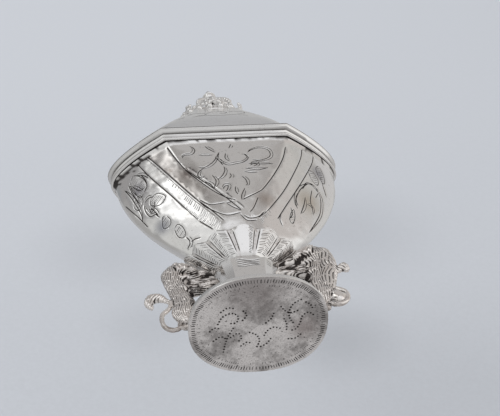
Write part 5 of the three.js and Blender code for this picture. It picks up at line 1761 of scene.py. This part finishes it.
def cast_lion(name, turn, tail, tuft, extra=()):
    """A lion, made in the plane of its own outline and then turned about the upright by an angle."""
    lion = join(name, lion_form(tail, tuft, extra))
    cast_skin(lion, VOXEL, 4)
    hollow, places, normals = cavity_of(lion)
    strokes = fur(places)
    lumps = np.array([noise.noise(Vector(place) * 0.9) for place in places])
    places = places - normals * (FUR_DEPTH * strokes + LUMP_DEPTH * lumps)[:, None]
    lion.data.vertices.foreach_set("co", places.ravel())
    r, _, z = places.T
    # inner and the term under the arm paint darkness: dark blotches as painted shade on the lion's inner side
    # next to the cup, and a painted dark reflection under its lower arm. The fur strokes and the hollows keep
    # their tarnish.
    inner = np.clip((11.2 - r) / 0.8, 0, 1)
    painted_under_arm_reflection = 0.4 * np.clip((12.6 - z) / 0.6, 0, 1) * (z > 9)
    patina_and_painted_shade = 0.6 * strokes + hollow / 0.25 + inner * (np.clip(4 * lumps - 0.3, 0, 0.45) + painted_under_arm_reflection)
    # The tone paints the lion browner near the cup and near the foot.
    near_cup = np.clip((11.8 - r) / 1.2, 0, 1) * np.clip(0.8 + 2.5 * lumps, 0, 1)
    near_foot = np.clip((3.6 - z) / 1.2, 0, 1)
    write_attribute(lion, "cut", np.clip(patina_and_painted_shade, 0, 1))
    write_attribute(lion, "tone", np.clip(0.8 * near_cup + 0.8 * near_foot, 0, 1))
    lion.data.transform(Matrix.Rotation(math.radians(turn), 4, "Z") @ Matrix.Scale(MM, 4))
    lion.data.update()
    return lion


left_lion = cast_lion("cast_lion_left", 174, LEFT_TAIL, LEFT_TUFT)
settle(left_lion, "root", cast_silver, "cast_silver", "lion_left")
right_lion = cast_lion("cast_lion_right", -6, RIGHT_TAIL, RIGHT_TUFT, [COIL, BROAD_BACK])
settle(right_lion, "root", cast_silver, "cast_silver", "lion_right")

# %% [markdown]
# ## Inside: sponge, grille and hinges
# The sponge is cut to the taper of the body. A remesh evens its faces, and noise pits it. The grille, its
# frame, its ledge and the hinges already have their real shapes in the CAD model, so they stay. They only
# get soft edges from a bevel, and the gilding that an inside has.

# %% Sponge
SPONGE_LOW, SPONGE_HIGH = 17.2, 37.2
SPONGE_INSET = 1.35
SPONGE_VOXEL = 0.42
PIT_SCALES, PIT_DEPTHS = (1.1, 2.6), (0.35, 0.22)


def soft_sponge():
    rows = [(SPONGE_LOW + 0.15, 2.1), (SPONGE_LOW + 0.8, 1.45)]
    rows += [(z, SPONGE_INSET) for z in np.linspace(SPONGE_LOW + 2, SPONGE_HIGH - 1.4, 8)]
    rows += [(SPONGE_HIGH - 0.5, 1.6), (SPONGE_HIGH - 0.15, 2.4)]
    across = np.linspace(-REACH, REACH, 41)
    sponge = loft("cut_sponge", [wall_ring(body_wall, across, z, -inset) for z, inset in rows], capped=True)
    sponge.data.transform(Matrix.Scale(1 / MM, 4))
    apply_modifier(sponge, "REMESH", mode="VOXEL", voxel_size=SPONGE_VOXEL)
    _, places, normals = cavity_of(sponge, 1)
    depth = np.zeros(len(places))
    for scale, deepest in zip(PIT_SCALES, PIT_DEPTHS):
        pits = np.array([noise.noise(Vector(place) * scale) for place in places])
        depth += deepest * np.clip(pits, 0, 1)
    sponge.data.vertices.foreach_set("co", (places - normals * depth[:, None]).ravel())
    sponge.data.transform(Matrix.Scale(MM, 4))
    sponge.data.update()
    sponge.data.shade_smooth()
    return sponge


sponge = settle(soft_sponge(), "root", sponge_cells, "sponge", "sponge")

# %% Carried-over nodes
EDGE = {"grille_plate": 0.05, "grille_frame": 0.12, "grille_tab": 0.12, "grille_ledge": 0.08, "bezel": 0.12}
HINGE_EDGE = 0.05
FINISHES = {"gilt": gilt, "silver": silver}


def soften(node, width):
    """Rounds the edges of a CAD node with live modifiers, and leaves its mesh alone."""
    weld = node.modifiers.new("weld", "WELD")
    weld.merge_threshold = 0.002 * MM
    bevel = node.modifiers.new("bevel", "BEVEL")
    bevel.width = width * MM
    bevel.segments = 2
    bevel.limit_method = "ANGLE"
    bevel.angle_limit = math.radians(30)


kept = [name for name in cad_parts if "hinge" in name or "grille" in name or name == "bezel"]
for name in kept:
    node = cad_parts[name]
    inner = "grille" in name or name == "bezel"
    node.data.materials.clear()
    node.data.materials.append(FINISHES["gilt" if inner else "silver"])
    soften(node, EDGE.get(name, HINGE_EDGE))
print("kept from the CAD model:", kept)

# %% [markdown]
# ## The end
# The colours are shown through Blender's Standard view transform. The looks must stay
# inside the CAD model's box.

# %% View transform
bpy.context.scene.view_settings.view_transform = "Standard"
